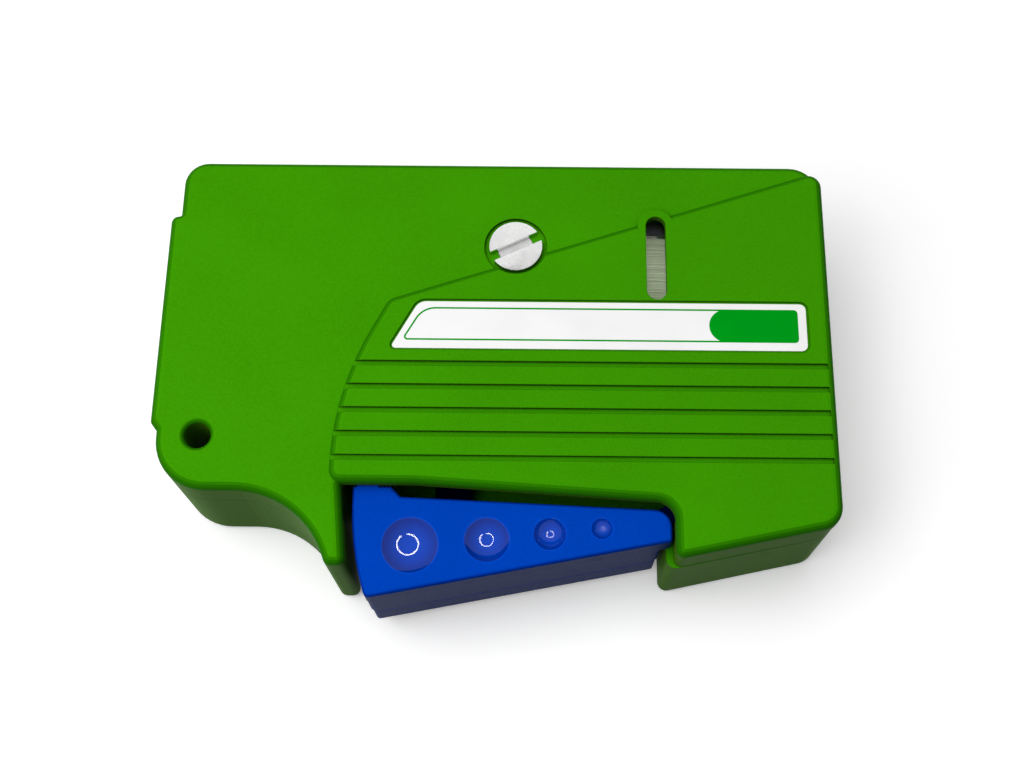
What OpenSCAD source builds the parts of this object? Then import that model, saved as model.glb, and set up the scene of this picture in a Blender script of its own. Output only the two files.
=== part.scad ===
// Reel cassette that wipes the end faces of fibre optic connectors.
// A squeeze lever opens a shutter over two windows and winds a dry tape past them.
// X runs along the width, Y up the height, Z from the back face to the front face.

/* [Housing] */
// Width of the housing
body_w = 130; // [120:1:140]
// Height from the lever's lowest corner to the top edge
body_h = 88; // [84:1:92]
// Thickness over the raised front panel
body_t = 32; // [31:0.5:36]
// Height of the front cover's sides
cover_h = 8.5; // [8:0.25:9.5]
// Wall of both shells
wall = 1.8; // [1.4:0.1:1.8]
// Rounding round the two large faces
edge_r = 1.8; // [1:0.1:1.8]
// How far the raised panel stands above the rest of the front
panel_rise = 1; // [0.6:0.1:1.4]
// How far the panel stands out past the sides below it
panel_lip = 0.1; // [0.05:0.05:0.3]

/* [Cleaning head] */
// How far the head stands out from the left side above it
head_step = 1.9; // [1:0.1:2.4]
// Top edge of the housing to the top of the head
head_drop = 11.9; // [10:0.1:14]
// Height of the rounded side below the head
lobe_h = 13.1; // [12:0.1:15]
// Length of a cleaning window
window_len = 13.5; // [11:0.5:13.5]
// Rib between the two windows
window_rib = 1.8; // [1.4:0.1:2]
// Bore of the lanyard hole
lanyard_d = 5; // [4:0.1:6]

/* [Reels and tape] */
// Radius of the used tape on the take-up reel
take_up_r = 9; // [8:0.5:14]
// Gap between the rims of the two reels
reel_gap = 11.1; // [9:0.1:14]
// How much larger the supply reel's radius is than the take-up reel's
reel_step = 2.4; // [2:0.1:3]
// Radius of both reel hubs
hub_r = 7; // [6:0.5:7.5]
// Radius of the guide rollers
roller_r = 3.2; // [2.6:0.1:3.6]
// Teeth of the ratchet wheel
ratchet_teeth = 20; // [20:1:20]

/* [Lever] */
// Height of the lever below the mouth that it moves in
lever_h = 21.1; // [20:0.1:22]
// Back of the lever above the housing's back face
lever_z0 = 4.4; // [4:0.1:5]
// Front of the panel above the front of the lever
lever_sink = 3.6; // [3.4:0.1:4]
// Wall of the lever halves
lever_wall = 1.5; // [1.2:0.1:1.8]
// Rim diameter of the largest finger dimple
dimple_d = 10.6; // [8:0.1:11.5]

/* [Front details] */
// Radius of the coin screw's head
screw_r = 5.2; // [4.6:0.1:5.6]
// Width of the coin slot
coin_w = 2; // [1.6:0.1:2.4]
// Angle of the coin slot, in degrees
coin_angle = 25.7; // [0:0.1:90]
// Width of the sight slot
sight_w = 3.9; // [3:0.1:4.5]
// Length of the sight slot
sight_len = 17.8; // [14:0.1:20]
// Spacing of the grip grooves
groove_pitch = 4.69; // [4:0.01:5]
// Width of a grip groove
groove_w = 1.1; // [0.8:0.1:1.4]
// Depth of a grip groove
groove_deep = 0.8; // [0.5:0.1:1]
// Number of grip grooves
groove_count = 5; // [1:1:5]

/* [Hidden] */
$fn = 64;

green = [0.24, 0.58, 0.02];
blue = [0.02, 0.28, 0.75];
steel = [0.8, 0.8, 0.82];
grey = [0.25, 0.27, 0.3];
white = [0.93, 0.93, 0.92];

// Clearances and small shared sizes
run = 0.05;
gap = 0.3;
over = 1;
arc_error = 0.02;
tiny_r = 0.3;
arc_steps = 5;
rim_seat = 0.2;

// Edges and heights of the housing
left = -body_w / 2;
right = body_w / 2;
top = body_h / 2;
bottom = -body_h / 2;
base_z = body_t - panel_rise;
roof_z = base_z - wall;
part_z = base_z - cover_h;
base_right = right - panel_lip;

// Outline of the housing, measured from its edges and from the lever's mouth
top_right_r = 6.3;
top_left_r = 4.8;
head_r = 1.5;
nick = 1.3;
nick_h = 1.7;
nick_r = 0.8;
lobe_drop = 1.4;
lobe_r = 10;
valley_w = 4.8;
valley_r = 18.6;
horn_in = 38.3;
horn_w = 3.8;
horn_lift = 5.7;
horn_lean = 1.6;
horn_r = 1.5;
mouth_flat = 14;
mouth_slope = 3.1;
mouth_r = 3.6;
bend_r = 20;
foot_w = 30.9;
foot_lift = 7.2;
foot_r = 1.4;
foot_rise = 6.6;
foot_corner_r = 4.5;
mouth_y = bottom + lever_h;
lobe_y = mouth_y - lobe_drop;
head_top = top - head_drop;
head_bottom = lobe_y + lobe_h;
horn_x = left + horn_in;
horn_y = bottom + horn_lift;
valley_x = horn_x - horn_w - valley_w;
mouth_x = horn_x - horn_lean;
bend_x = mouth_x + mouth_flat;
foot_x = right - foot_w;
mouth_end_y = mouth_y - mouth_slope;
foot_y = bottom + foot_lift;
base_outline = [
    [base_right, top, top_right_r],
    [left + head_step, top, top_left_r],
    [left + head_step, head_top, tiny_r],
    [left, head_top, head_r],
    [left, head_bottom, nick_r],
    [left + nick, head_bottom - nick_h, tiny_r],
    [left + nick, lobe_y, lobe_r],
    [valley_x, lobe_y, valley_r],
    [horn_x - horn_w, horn_y, horn_r],
    [horn_x, horn_y, horn_r],
    [mouth_x, mouth_y, tiny_r],
    [bend_x, mouth_y, bend_r],
    [foot_x, mouth_end_y, mouth_r],
    [foot_x, foot_y, foot_r],
    [base_right, foot_y + foot_rise, foot_corner_r]];

// The back shell's foot stands proud of the cover's
foot_proud_x = 1.3;
foot_proud_y = 0.4;
shell_outline = [for (i = [0:len(base_outline) - 1])
    i == 12 ? [foot_x - foot_proud_x, mouth_end_y, mouth_r] :
    i == 13 ? [foot_x - foot_proud_x, foot_y - foot_proud_y, foot_r + foot_proud_y] :
    base_outline[i]];

// Label, its pocket and the grip grooves below it
label_in = 8.2;
label_end = 4.9;
label_lift = 26.5;
label_h = 9.7;
label_slant = 5.3;
label_r = 1.2;
label_corner_r = 2.4;
label_margin = 0.8;
label_gap = 0.45;
label_t = 0.25;
pocket_deep = 0.5;
groove_drop = 2.6;
groove_stop = 1.3;
label_left = mouth_x + label_in;
label_right = right - label_end;
label_low = mouth_y + label_lift;
label_high = label_low + label_h;
label_outline = [
    [label_right, label_high, label_r],
    [label_left + label_slant, label_high, label_corner_r],
    [label_left, label_low, label_r / 2],
    [label_right, label_low, label_r]];
groove_top = label_low - groove_drop;

// Outline of the raised panel
panel_drop = 1.1;
panel_top_r = 2.6;
panel_corner_r = 3;
panel_out = 2.4;
panel_side_h = 17.8;
panel_side_r = 60;
panel_low_r = 2.4;
panel_left = mouth_x - panel_out;
panel_outline = [
    [right, top - panel_drop, panel_top_r],
    [label_left - label_margin, label_high + label_margin, panel_corner_r],
    [panel_left, mouth_y + panel_side_h, panel_side_r],
    [panel_left, mouth_y - panel_lip, panel_low_r],
    [bend_x, mouth_y - panel_lip, bend_r],
    [foot_x - panel_lip, mouth_end_y - panel_lip, mouth_r],
    [foot_x - panel_lip, foot_y - panel_lip, foot_r],
    [right, foot_y + foot_rise - panel_lip, foot_corner_r]];
panel_base_z = base_z - edge_r - over;

// Lanyard hole
lanyard_in = 8;
lanyard_lift = 10.4;
lanyard_edge = 1;
lanyard = [left + nick + lanyard_in, lobe_y + lanyard_lift];
lanyard_r = lanyard_d / 2;
lanyard_boss_r = lanyard_r + wall;

// Tongues that locate the cover, and the ribs of both shells
tongue_w = 9;
tongue_t = 1;
tongue_h = 2.4;
tongue_shares = [0.2, 0.4, 0.7231];
rib_t = 1.2;
rib_h = 1.6;
rib_len = 8;
rib_count = 4;
floor_rib_h = 1.4;
floor_rib_len = 14;
floor_rib_shares = [0.4231, 0.6346, 0.8038];

// Reels, whose flanges fill the width and the height that the housing leaves
supply_in = 33.5;
take_up_in = 43;
supply_drop = 1.55;
take_up_drop = 0.05;
reel_margin = 13.45;
roll_rim = 0.9;
supply_spindle_r = 4;
take_up_spindle_r = 3;
spindle_wall = 1.2;
seat_r = 5.5;
hub_wall = 1.4;
flange_hole_share = 0.21;
reel_mid_y = (top + mouth_y) / 2;
supply_at = [right - supply_in, reel_mid_y - supply_drop];
take_up_at = [left + take_up_in, reel_mid_y - take_up_drop];
reel_span = supply_at[0] - take_up_at[0];
take_up_flange_r = min((reel_span - reel_gap - reel_step) / 2, (top - mouth_y) / 2 - reel_margin);
supply_flange_r = take_up_flange_r + reel_step;
supply_r = supply_flange_r - roll_rim;

// Sight slot and its clear window
sight_off = 0.1;
sight_drop = 21.1;
sight_bump = 1.6;
window_t = 1;
window_rim = 1.5;
sight_at = [supply_at[0] - sight_off, top - sight_drop];
sight_bump_r = sight_w / 2 + sight_bump;

// Heights of what lies inside
drive_arm_t = 2;
wheel_t = 2.7;
flange_t = 1;
shutter_arm_t = 1.9;
bracket_t = 1.2;
bracket_gap = 0.45;
lever_z1 = body_t - lever_sink;
drive_arm_z0 = lever_z0 + gap / 2;
wheel_z0 = drive_arm_z0 + drive_arm_t + gap / 2;
flange_z0 = wheel_z0 + wheel_t;
tape_z0 = flange_z0 + flange_t + gap / 2;
shutter_arm_z0 = lever_z1 - shutter_arm_t;
bracket_z0 = shutter_arm_z0 - bracket_gap - bracket_t;
tape_z1 = bracket_z0 - gap;
tape_w = tape_z1 - tape_z0;

// Ratchet wheel
tooth_root_r = 11;
tooth_tip_r = 13.8;
tooth_work_r = 13;
tooth_back_share = 0.4;
tooth_phase = -11.3;
tooth_pitch = 360 / ratchet_teeth;

// Lever
pivot_in = 3.9;
pivot_lift = 1.5;
pin_r = 2;
pin_seat = 1.2;
lug_r = 3.6;
lug_t = 4;
lever_gap = 2.1;
lever_side_h = 11.1;
lever_side_r = 55;
lever_taper = 3.1;
lever_low_r = 1.2;
lever_foot_gap = 0.5;
lever_end_h = 11;
lever_end_r = 0.8;
lever_lap = 1.7;
lever_step = 0.12;
lever_back_step = 0.35;
lever_plate_gap = 0.5;
lever_top_drop = 1;
lever_top_r = 3.4;
shoulder_drop = 1.9;
tab_w = 7.2;
tab_slope = 1.8;
tab_rise = 0.1;
lever_edge_r = 0.7;
lever_face_t = 3;
lever_back_h = 9.7;
seam_w = 0.5;
seam_deep = 0.4;
pivot = [foot_x + pivot_in, mouth_end_y + pivot_lift];
lever_left = mouth_x + lever_gap;
lever_end = foot_x - lever_foot_gap;
lever_plate_z0 = part_z + lever_plate_gap;
lever_shoulder_y = mouth_y - shoulder_drop;
tab_y = mouth_y + tab_rise;
split_z = lever_z0 + lever_back_h;
lever_outline = [
    [lever_end, mouth_end_y - lever_top_drop, lever_top_r],
    [lever_left + tab_w + tab_slope, lever_shoulder_y, tiny_r],
    [lever_left + tab_w, tab_y, tiny_r],
    [lever_left, tab_y, tiny_r],
    [lever_left, mouth_y - lever_side_h, lever_side_r],
    [lever_left + lever_taper, bottom, lever_low_r],
    [lever_end, bottom + lever_end_h, lever_end_r]];
lever_body_outline = [for (i = [0:len(lever_outline) - 1])
    i == 0 ? shift_end(lever_outline[1], lever_outline[0], lever_lap) :
    i == 6 ? shift_end(lever_outline[5], lever_outline[6], lever_lap) :
    lever_outline[i]];

// Finger dimples, as shares of the lever's width and height and of the largest dimple
dimple_x_shares = [0.1856, 0.4231, 0.6187, 0.7809];
dimple_y_shares = [0.4692, 0.5213, 0.5782, 0.6303];
dimple_d_shares = [1, 0.802, 0.585, 0.387];
dimple_depth_share = 0.17;

// Windows and the shutter behind them
shutter_t = 1;
shutter_lap_low = 1.5;
shutter_lap_high = 2;
shutter_under = 0.8;
shutter_above = 0.9;
head_floor = 1.2;
rail_w = 1;
plate_rim = 1.5;
window_lift = 0.6;
window_cap = 0.75;
shutter_x = left + wall + gap;
shutter_low = head_bottom + head_floor;
shutter_len = shutter_lap_low + window_len + shutter_lap_high;
shutter_z0 = tape_z0 - shutter_under;
shutter_z1 = part_z + shutter_above;
window_low = shutter_low + shutter_lap_low;
windows_z0 = tape_z0 + window_lift;
window_w = (part_z - window_cap - windows_z0 - window_rib) / 2;
notch_low = window_low - plate_rim;
notch_high = window_low + window_len + plate_rim;
notch_z0 = windows_z0 - plate_rim;

// Pad and rollers behind the windows
tape_t = 0.2;
pad_gap = 0.7;
pad_t = 3;
pad_r = 1;
holder_t = 2.6;
holder_lip = 1;
roller_pin_r = 1.2;
roller_lip = 0.8;
web_gap = 0.3;
lower_roller_in = 14;
lower_roller_lift = 6;
upper_roller_in = 11;
upper_roller_drop = 13.5;
pad_x = shutter_x + shutter_t + pad_gap + tape_t;
lower_roller_at = [left + lower_roller_in, head_bottom + lower_roller_lift];
upper_roller_at = [left + upper_roller_in, top - upper_roller_drop];

// Coin screw, which stands just below the run of tape from the supply roll to the upper roller
screw_off = 0.95;
screw_under = 6.537;
screw_room = 1;
screw_recess = 0.8;
screw_head_t = 1.25;
screw_neck_r = 3.5;
screw_shank_r = 2;
screw_boss_r = 4.4;
insert_r = 2.9;
insert_len = 8;
screw_short = 1;
clip_r = 3.4;
clip_t = 0.8;
screw_x = (supply_at[0] + take_up_at[0]) / 2 - screw_off;
screw_share = (supply_at[0] - screw_x) / (supply_at[0] - upper_roller_at[0]);
tape_over_supply = supply_at[1] + supply_r + web_gap + tape_t / 2;
tape_over_roller = upper_roller_at[1] + roller_r + web_gap + tape_t / 2;
screw_at = [screw_x, tape_over_supply + screw_share * (tape_over_roller - tape_over_supply) - screw_under];
screw_recess_r = screw_r + screw_room;
screw_seat_z = base_z - screw_recess;
screw_tip_z = part_z - insert_len + screw_short;

// Arm of the lever that moves the shutter by a pin in a slotted bracket
arm_w = 4;
arm_pin_in = 1.6;
arm_pin_lift = 5.2;
arm_pin_r = 1;
arm_pin_slack = 0.25;
arm_reach = 5.6;
arm_bend_in = 7;
arm_bend_drop = 2.8;
arm_low_in = 3.5;
arm_low_lift = 4.9;
bracket_w = 5;
arm_pin = [shutter_x + shutter_t + arm_pin_in, head_bottom + arm_pin_lift];
arm_bend = [lower_roller_at[0] + arm_bend_in, lower_roller_at[1] - arm_bend_drop];
arm_bend_low = [lever_left + arm_low_in, mouth_y + arm_low_lift];
arm_foot = [lever_left + arm_w / 2 + tiny_r, tab_y - arm_w];

// Pawls, springs and the supply reel's brake
spring_sides = 8;
spring_steps = 18;
lever_wire = 1.1;
lever_coil_r = 3.2;
lever_coil_gap = 0.28;
lever_coil_leg = 5;
pawl_in = 14.1;
pawl_drop = 24.5;
pawl_r = 2.4;
pawl_pin_r = 1;
pawl_t = wheel_t - gap;
leaf_t = 0.8;
leaf_away = 0.9;
drive_arm_w = 7.5;
hook_slack = 0.35;
hook_out = 4;
hook_in = 1.7;
hook_drop = 1.4;
hook_nose = 0.25;
hook_t = 1.6;
hook_body_share = 0.69;
block_w = 4;
pawl_block_in = 11.5;
pawl_block_lift = 17;
holding_tooth = 9;
holding_back_angle = 1.6;
holding_r = 12.3;
brake_block_gap = 1.5;
brake_block_drop = 12;
brake_h = 3;
brake_pad_r = 1.2;
brake_angle = 12;
pawl_at = [take_up_at[0] + pawl_in, take_up_at[1] - pawl_drop];
pawl_block = [take_up_at[0] - pawl_block_in, take_up_at[1] + pawl_block_lift];
brake_block = [supply_at[0] + supply_flange_r + brake_block_gap, supply_at[1] - brake_block_drop];

// Corner b moved back by d in X along the line from a
function shift_end(a, b, d) = [b[0] - d, b[1] - d * (b[1] - a[1]) / (b[0] - a[0]), b[2]];

// Unit vector along v
function unit(v) = v / norm(v);

// Point at an angle and a distance from c
function polar(c, r, a) = c + r * [cos(a), sin(a)];

// Arc that rounds the corner at p between its neighbours a and b
function corner(a, p, b, r, grow) =
    let (u = unit([a[0] - p[0], a[1] - p[1]]), w = unit([b[0] - p[0], b[1] - p[1]]))
    let (half = acos(max(-1, min(1, u * w))) / 2, side = sign(u[1] * w[0] - u[0] * w[1]))
    let (reach = min(norm([a[0] - p[0], a[1] - p[1]]), norm([b[0] - p[0], b[1] - p[1]])) - tiny_r / 2)
    let (real_r = side > 0 ? max(r - grow, tiny_r / 4) : min(r + grow, max(r, reach * tan(half))))
    let (centre = p + unit(u + w) * real_r / sin(half))
    let (start = p + u * real_r / tan(half) - centre, first = atan2(start[1], start[0]))
    let (sweep = side * (180 - 2 * half))
    let (n = max(2, ceil(abs(sweep) / (2 * acos(1 - min(arc_error / r, 0.5))))))
    [for (i = [0:n]) centre + real_r * [cos(first + sweep * i / n), sin(first + sweep * i / n)]];

// Corner point of an outline whose edges have moved inwards by d
function inset_point(c, i, d) =
    let (n = len(c), p = [c[i][0], c[i][1]])
    let (a = c[(i + n - 1) % n], b = c[(i + 1) % n])
    let (e = unit([p[0] - a[0], p[1] - a[1]]), f = unit([b[0] - p[0], b[1] - p[1]]))
    let (m = [-e[1], e[0]], k = [-f[1], f[0]])
    p + d * (m + k) / (1 + m * k);

// Points of an outline of [x, y, radius] corners, moved inwards by d
function rounded(c, d = 0) =
    let (n = len(c), p = [for (i = [0:n - 1]) inset_point(c, i, d)])
    [for (i = [0:n - 1]) each corner(p[(i + n - 1) % n], p[i], p[(i + 1) % n], c[i][2], d)];

// Rounded rim that runs round an outline moved inwards by d, its top at z1
module rim(c, z1, r, d) {
    round_part = [for (i = [0:arc_steps])
        [r * (1 - cos(90 * i / arc_steps)), z1 - r + r * sin(90 * i / arc_steps)]];
    profile = concat(round_part, [[r + rim_seat, z1], [r + rim_seat, z1 - r]]);
    rings = [for (l = profile) [for (p = rounded(c, d + l[0])) [p[0], p[1], l[1]]]];
    n = len(rings[0]);
    m = len(rings);
    sides = [for (k = [0:m - 1], i = [0:n - 1])
        let (up = (k + 1) % m, next = (i + 1) % n)
        [k * n + i, up * n + i, up * n + next, k * n + next]];
    polyhedron([for (ring = rings) each ring], sides, convexity = 8);
}

// Solid on an outline moved inwards by d, from z0 to z1, with its upper edge rounded by r
module dome(c, z0, z1, r, d = 0) {
    rim(c, z1, r, d);
    slab(c, z0, z1 - r, d);
    slab(c, z0, z1, d + r + rim_seat / 2);
}

// Flat prism on an outline
module slab(c, z0, z1, d = 0) {
    translate([0, 0, z0])
        linear_extrude(z1 - z0, convexity = 8)
            polygon(rounded(c, d));
}

// Cylinder between two heights
module post(at, r, z0, z1) {
    translate([at[0], at[1], z0])
        cylinder(h = z1 - z0, r = r);
}

// Tube between two heights
module tube(at, r, bore, z0, z1) {
    difference() {
        post(at, r, z0, z1);
        post(at, bore, z0 - over, z1 + over);
    }
}

// Box between two corners
module box(a, b) {
    translate(a)
        cube(b - a);
}

// Flat outline of a bar from a to b with round ends
module bar_shape(a, b, w) {
    translate(a)
        rotate(atan2(b[1] - a[1], b[0] - a[0])) {
            translate([0, -w / 2])
                square([norm(b - a), w]);
            circle(d = w);
            translate([norm(b - a), 0])
                circle(d = w);
        }
}

// Bar from a to b with round ends, between two heights
module bar(a, b, w, z0, z1) {
    translate([0, 0, z0])
        linear_extrude(z1 - z0)
            bar_shape(a, b, w);
}

// Ring outline
module ring_shape(r, bore) {
    difference() {
        circle(r = r);
        circle(r = bore);
    }
}

// Round wire along a path, its rings turned about the direction ref
module wire(path, r, ref) {
    n = len(path);
    dirs = [for (i = [0:n - 1]) unit(path[min(i + 1, n - 1)] - path[max(i - 1, 0)])];
    points = [for (i = [0:n - 1])
        let (u = unit(cross(dirs[i], ref)), v = cross(dirs[i], u))
        each [for (j = [0:spring_sides - 1])
            path[i] + r * (cos(360 * j / spring_sides) * u + sin(360 * j / spring_sides) * v)]];
    sides = [for (i = [0:n - 2], j = [0:spring_sides - 1])
        let (k = (j + 1) % spring_sides, a = i * spring_sides, b = a + spring_sides)
        [a + j, b + j, b + k, a + k]];
    first = [for (j = [0:spring_sides - 1]) j];
    last = [for (j = [spring_sides - 1:-1:0]) (n - 1) * spring_sides + j];
    polyhedron(points, concat(sides, [first, last]), convexity = 8);
}

// Hole for the lanyard, with its rounded mouth at height z facing away from dir
module lanyard_mouth(z, dir) {
    translate([lanyard[0], lanyard[1], z])
        scale([1, 1, dir])
            rotate_extrude()
                difference() {
                    translate([0, -over])
                        square([lanyard_r + lanyard_edge, over + lanyard_edge]);
                    translate([lanyard_r + lanyard_edge, lanyard_edge])
                        circle(r = lanyard_edge);
                }
}

// Space that the lever moves in, between two heights
module mouth_space(z0, z1) {
    box([mouth_x, mouth_end_y - mouth_r, z0], [foot_x + wall + gap, mouth_y + wall + gap, z1]);
}

// Moulded front cover with the raised panel
module front_cover() {
    color(green)
        difference() {
            union() {
                difference() {
                    union() {
                        dome(base_outline, part_z, base_z, edge_r);
                        dome(panel_outline, panel_base_z, body_t, edge_r);
                        post([sight_at[0], sight_at[1] + sight_len / 2 - sight_w / 2], sight_bump_r,
                            panel_base_z, body_t);
                    }
                    slab(base_outline, part_z - over, roof_z, wall);
                    mouth_space(part_z - over, roof_z);
                }
                post(lanyard, lanyard_boss_r, part_z, roof_z + over / 2);
                post(screw_at, screw_boss_r, part_z, roof_z + over / 2);
                post(pivot, pin_r + wall, part_z + gap, roof_z + over / 2);
                cover_tongues();
                cover_ribs();
            }
            post(lanyard, lanyard_r, part_z - over, body_t + over);
            lanyard_mouth(base_z, -1);
            post(screw_at, screw_recess_r, screw_seat_z, body_t + over);
            post(screw_at, screw_neck_r + run, screw_seat_z - wall, body_t);
            post(screw_at, screw_shank_r + gap, part_z - over, body_t);
            post(screw_at, clip_r + gap, part_z - over, part_z + clip_t + gap);
            post(pivot, pin_r + run, part_z, roof_z + pin_seat + gap);
            sight_opening();
            slab(label_outline, body_t - pocket_deep, body_t + over, -label_gap);
            grooves();
        }
}

// Tongues that locate the cover inside the back shell
module cover_tongues() {
    for (s = tongue_shares) {
        x = left + s * body_w;
        box([x, top - wall - run - tongue_t, part_z - tongue_h],
            [x + tongue_w, top - wall - run, part_z + tongue_h]);
        box([x, top - wall - run - tongue_t, part_z],
            [x + tongue_w, top - wall + over / 2, part_z + tongue_h]);
    }
}

// Stiffening ribs under the top edge of the cover
module cover_ribs() {
    for (i = [1:rib_count]) {
        x = left + i * body_w / (rib_count + 1) - rib_t / 2;
        box([x, top - rib_len, roof_z - rib_h], [x + rib_t, top - wall / 2, roof_z + over / 2]);
    }
}

// Sight slot through the panel, with the seat of its window behind it
module sight_opening() {
    reach = sight_len / 2 - sight_w / 2;
    bar(sight_at - [0, reach], sight_at + [0, reach], sight_w, roof_z - over, body_t + over);
    box([sight_at[0] - sight_w / 2 - window_rim, sight_at[1] - sight_len / 2 - window_rim, roof_z - over],
        [sight_at[0] + sight_w / 2 + window_rim, sight_at[1] + sight_len / 2 + window_rim,
            roof_z + window_t]);
}

// Grip grooves, from the panel's left side to just short of its right side
module grooves() {
    for (i = [0:groove_count - 1])
        box([panel_left - over, groove_top - i * groove_pitch - groove_w, body_t - groove_deep],
            [right - groove_stop, groove_top - i * groove_pitch, body_t + over]);
}

// Clear window behind the sight slot
module sight_window() {
    color("lightblue")
        box([sight_at[0] - sight_w / 2 - window_rim + run, sight_at[1] - sight_len / 2 - window_rim + run,
            roof_z],
            [sight_at[0] + sight_w / 2 + window_rim - run, sight_at[1] + sight_len / 2 + window_rim - run,
            roof_z + window_t]);
}

// Printed label in its pocket
module label_plate() {
    color(white)
        slab(label_outline, body_t - pocket_deep, body_t - pocket_deep + label_t);
}

// Captive coin screw that holds the cover
module cover_screw() {
    color(steel)
        difference() {
            union() {
                post(screw_at, screw_r, screw_seat_z, screw_seat_z + screw_head_t);
                post(screw_at, screw_neck_r, screw_seat_z - wall + run, screw_seat_z);
                post(screw_at, screw_shank_r, screw_tip_z, screw_seat_z);
            }
            translate([screw_at[0], screw_at[1], screw_seat_z])
                rotate(coin_angle)
                    translate([-screw_r - over, -coin_w / 2, 0])
                        cube([2 * (screw_r + over), coin_w, screw_head_t + over]);
        }
}

// Clip that keeps the screw in the cover
module screw_clip() {
    color(grey)
        tube(screw_at, clip_r, screw_shank_r, part_z + gap / 2, part_z + gap / 2 + clip_t);
}

// Threaded insert in the back shell
module screw_insert() {
    color("goldenrod")
        tube(screw_at, insert_r, screw_shank_r + run, part_z - insert_len, part_z);
}

// Back shell with its posts, spindles and guides
module back_shell() {
    color(green)
        difference() {
            union() {
                difference() {
                    translate([0, 0, part_z])
                        mirror([0, 0, 1])
                            dome(shell_outline, 0, part_z, edge_r);
                    slab(shell_outline, wall, part_z + over, wall);
                    mouth_space(lever_z0 - gap, part_z + over);
                    box([left - over, notch_low, notch_z0],
                        [left + wall + over / 2, notch_high, part_z + over]);
                }
                post(lanyard, lanyard_boss_r, wall / 2, part_z);
                post(screw_at, screw_boss_r, wall / 2, part_z - tongue_h / 2);
                post(pivot, pin_r + wall, wall / 2, lever_z0 - gap);
                spindle(supply_at, supply_spindle_r, flange_z0 - gap);
                spindle(take_up_at, take_up_spindle_r, wheel_z0 - gap);
                post(upper_roller_at, roller_pin_r + wall, wall / 2, tape_z0 - 2 * gap);
                post(lower_roller_at, roller_pin_r + wall, wall / 2, tape_z0 - 2 * gap);
                shutter_rail();
                floor_ribs();
                pawl_post();
                brake_post();
            }
            post(lanyard, lanyard_r, -over, part_z + over);
            lanyard_mouth(0, 1);
            post(screw_at, insert_r, part_z - insert_len, part_z + over);
            post(screw_at, screw_shank_r + gap, wall, part_z + over);
            post(pivot, pin_r, wall, part_z);
            post(upper_roller_at, roller_pin_r, wall, part_z + over);
            post(lower_roller_at, roller_pin_r, wall, part_z + over);
            post(supply_at, supply_spindle_r - spindle_wall, wall, body_t);
            post(take_up_at, take_up_spindle_r - spindle_wall, wall, body_t);
        }
}

// Hollow spindle for a reel, with the seat that the reel turns on
module spindle(at, r, seat_z) {
    post(at, seat_r, wall / 2, seat_z);
    post(at, r, wall / 2, tape_z1);
}

// Rail under the shutter's lower edge, with a lip on its inner side
module shutter_rail() {
    rail_top = shutter_z0 - gap;
    box([left + wall / 2, shutter_low - gap, rail_top - rail_w],
        [shutter_x + shutter_t + rail_w + gap, head_top - wall, rail_top]);
    box([shutter_x + shutter_t + gap, shutter_low - gap, rail_top - rail_w],
        [shutter_x + shutter_t + rail_w / 2 + gap, head_top - wall, rail_top + rail_w]);
}

// Ribs that stiffen the floor
module floor_ribs() {
    for (s = floor_rib_shares) {
        x = left + s * body_w;
        box([x, top - wall - floor_rib_len, wall / 2], [x + rib_t, top - wall / 2, wall + floor_rib_h]);
    }
    box([supply_at[0] + supply_flange_r / 2, supply_at[1] - rib_t, wall / 2],
        [right - wall / 2, supply_at[1], wall + floor_rib_h]);
}

// Block that holds the root of the holding pawl
module pawl_post() {
    difference() {
        box([pawl_block[0], pawl_block[1], wall / 2],
            [pawl_block[0] + block_w, pawl_block[1] + block_w, wheel_z0 + wheel_t - gap]);
        box([pawl_block[0] + block_w / 2 - leaf_t / 2, pawl_block[1] - over, wheel_z0],
            [pawl_block[0] + block_w / 2 + leaf_t / 2, pawl_block[1] + block_w + over, part_z]);
    }
}

// Block that holds the root of the supply reel's brake
module brake_post() {
    difference() {
        box([brake_block[0], brake_block[1], wall / 2],
            [brake_block[0] + block_w, brake_block[1] + block_w, flange_z0 + flange_t]);
        box([brake_block[0] + block_w / 2 - leaf_t / 2, brake_block[1] - over, flange_z0 - brake_h],
            [brake_block[0] + block_w / 2 + leaf_t / 2, brake_block[1] + block_w + over, part_z]);
    }
}

// Plate with the two cleaning windows, held in the left wall by the cover
module window_plate() {
    color(grey)
        difference() {
            box([left, notch_low, notch_z0], [left + wall, notch_high, part_z]);
            for (i = [0, 1])
                box([left - over, window_low, windows_z0 + i * (window_w + window_rib)],
                    [left + wall + over, window_low + window_len,
                        windows_z0 + i * (window_w + window_rib) + window_w]);
        }
}

// Sliding shutter behind the windows, with the slotted bracket that the lever's arm moves
module shutter() {
    reach = arm_pin[0] + arm_reach + arm_pin_r + arm_pin_slack + rail_w;
    slot_w = arm_pin_r + arm_pin_slack;
    bracket_low = arm_pin[1] - bracket_w / 2;
    color(grey)
        difference() {
            union() {
                box([shutter_x, shutter_low, shutter_z0],
                    [shutter_x + shutter_t, shutter_low + shutter_len, shutter_z1]);
                box([shutter_x, bracket_low, shutter_z0],
                    [shutter_x + shutter_t, bracket_low + bracket_w, bracket_z0 + bracket_t]);
                box([shutter_x, bracket_low, bracket_z0],
                    [reach, bracket_low + bracket_w, bracket_z0 + bracket_t]);
                box([shutter_x, bracket_low + bracket_w - shutter_t, shutter_z0],
                    [shutter_x + shutter_t, bracket_low + bracket_w, bracket_z0 + bracket_t]);
            }
            box([arm_pin[0] - slot_w, arm_pin[1] - slot_w, bracket_z0 - over],
                [arm_pin[0] + arm_reach + slot_w, arm_pin[1] + slot_w, body_t]);
        }
}

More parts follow.
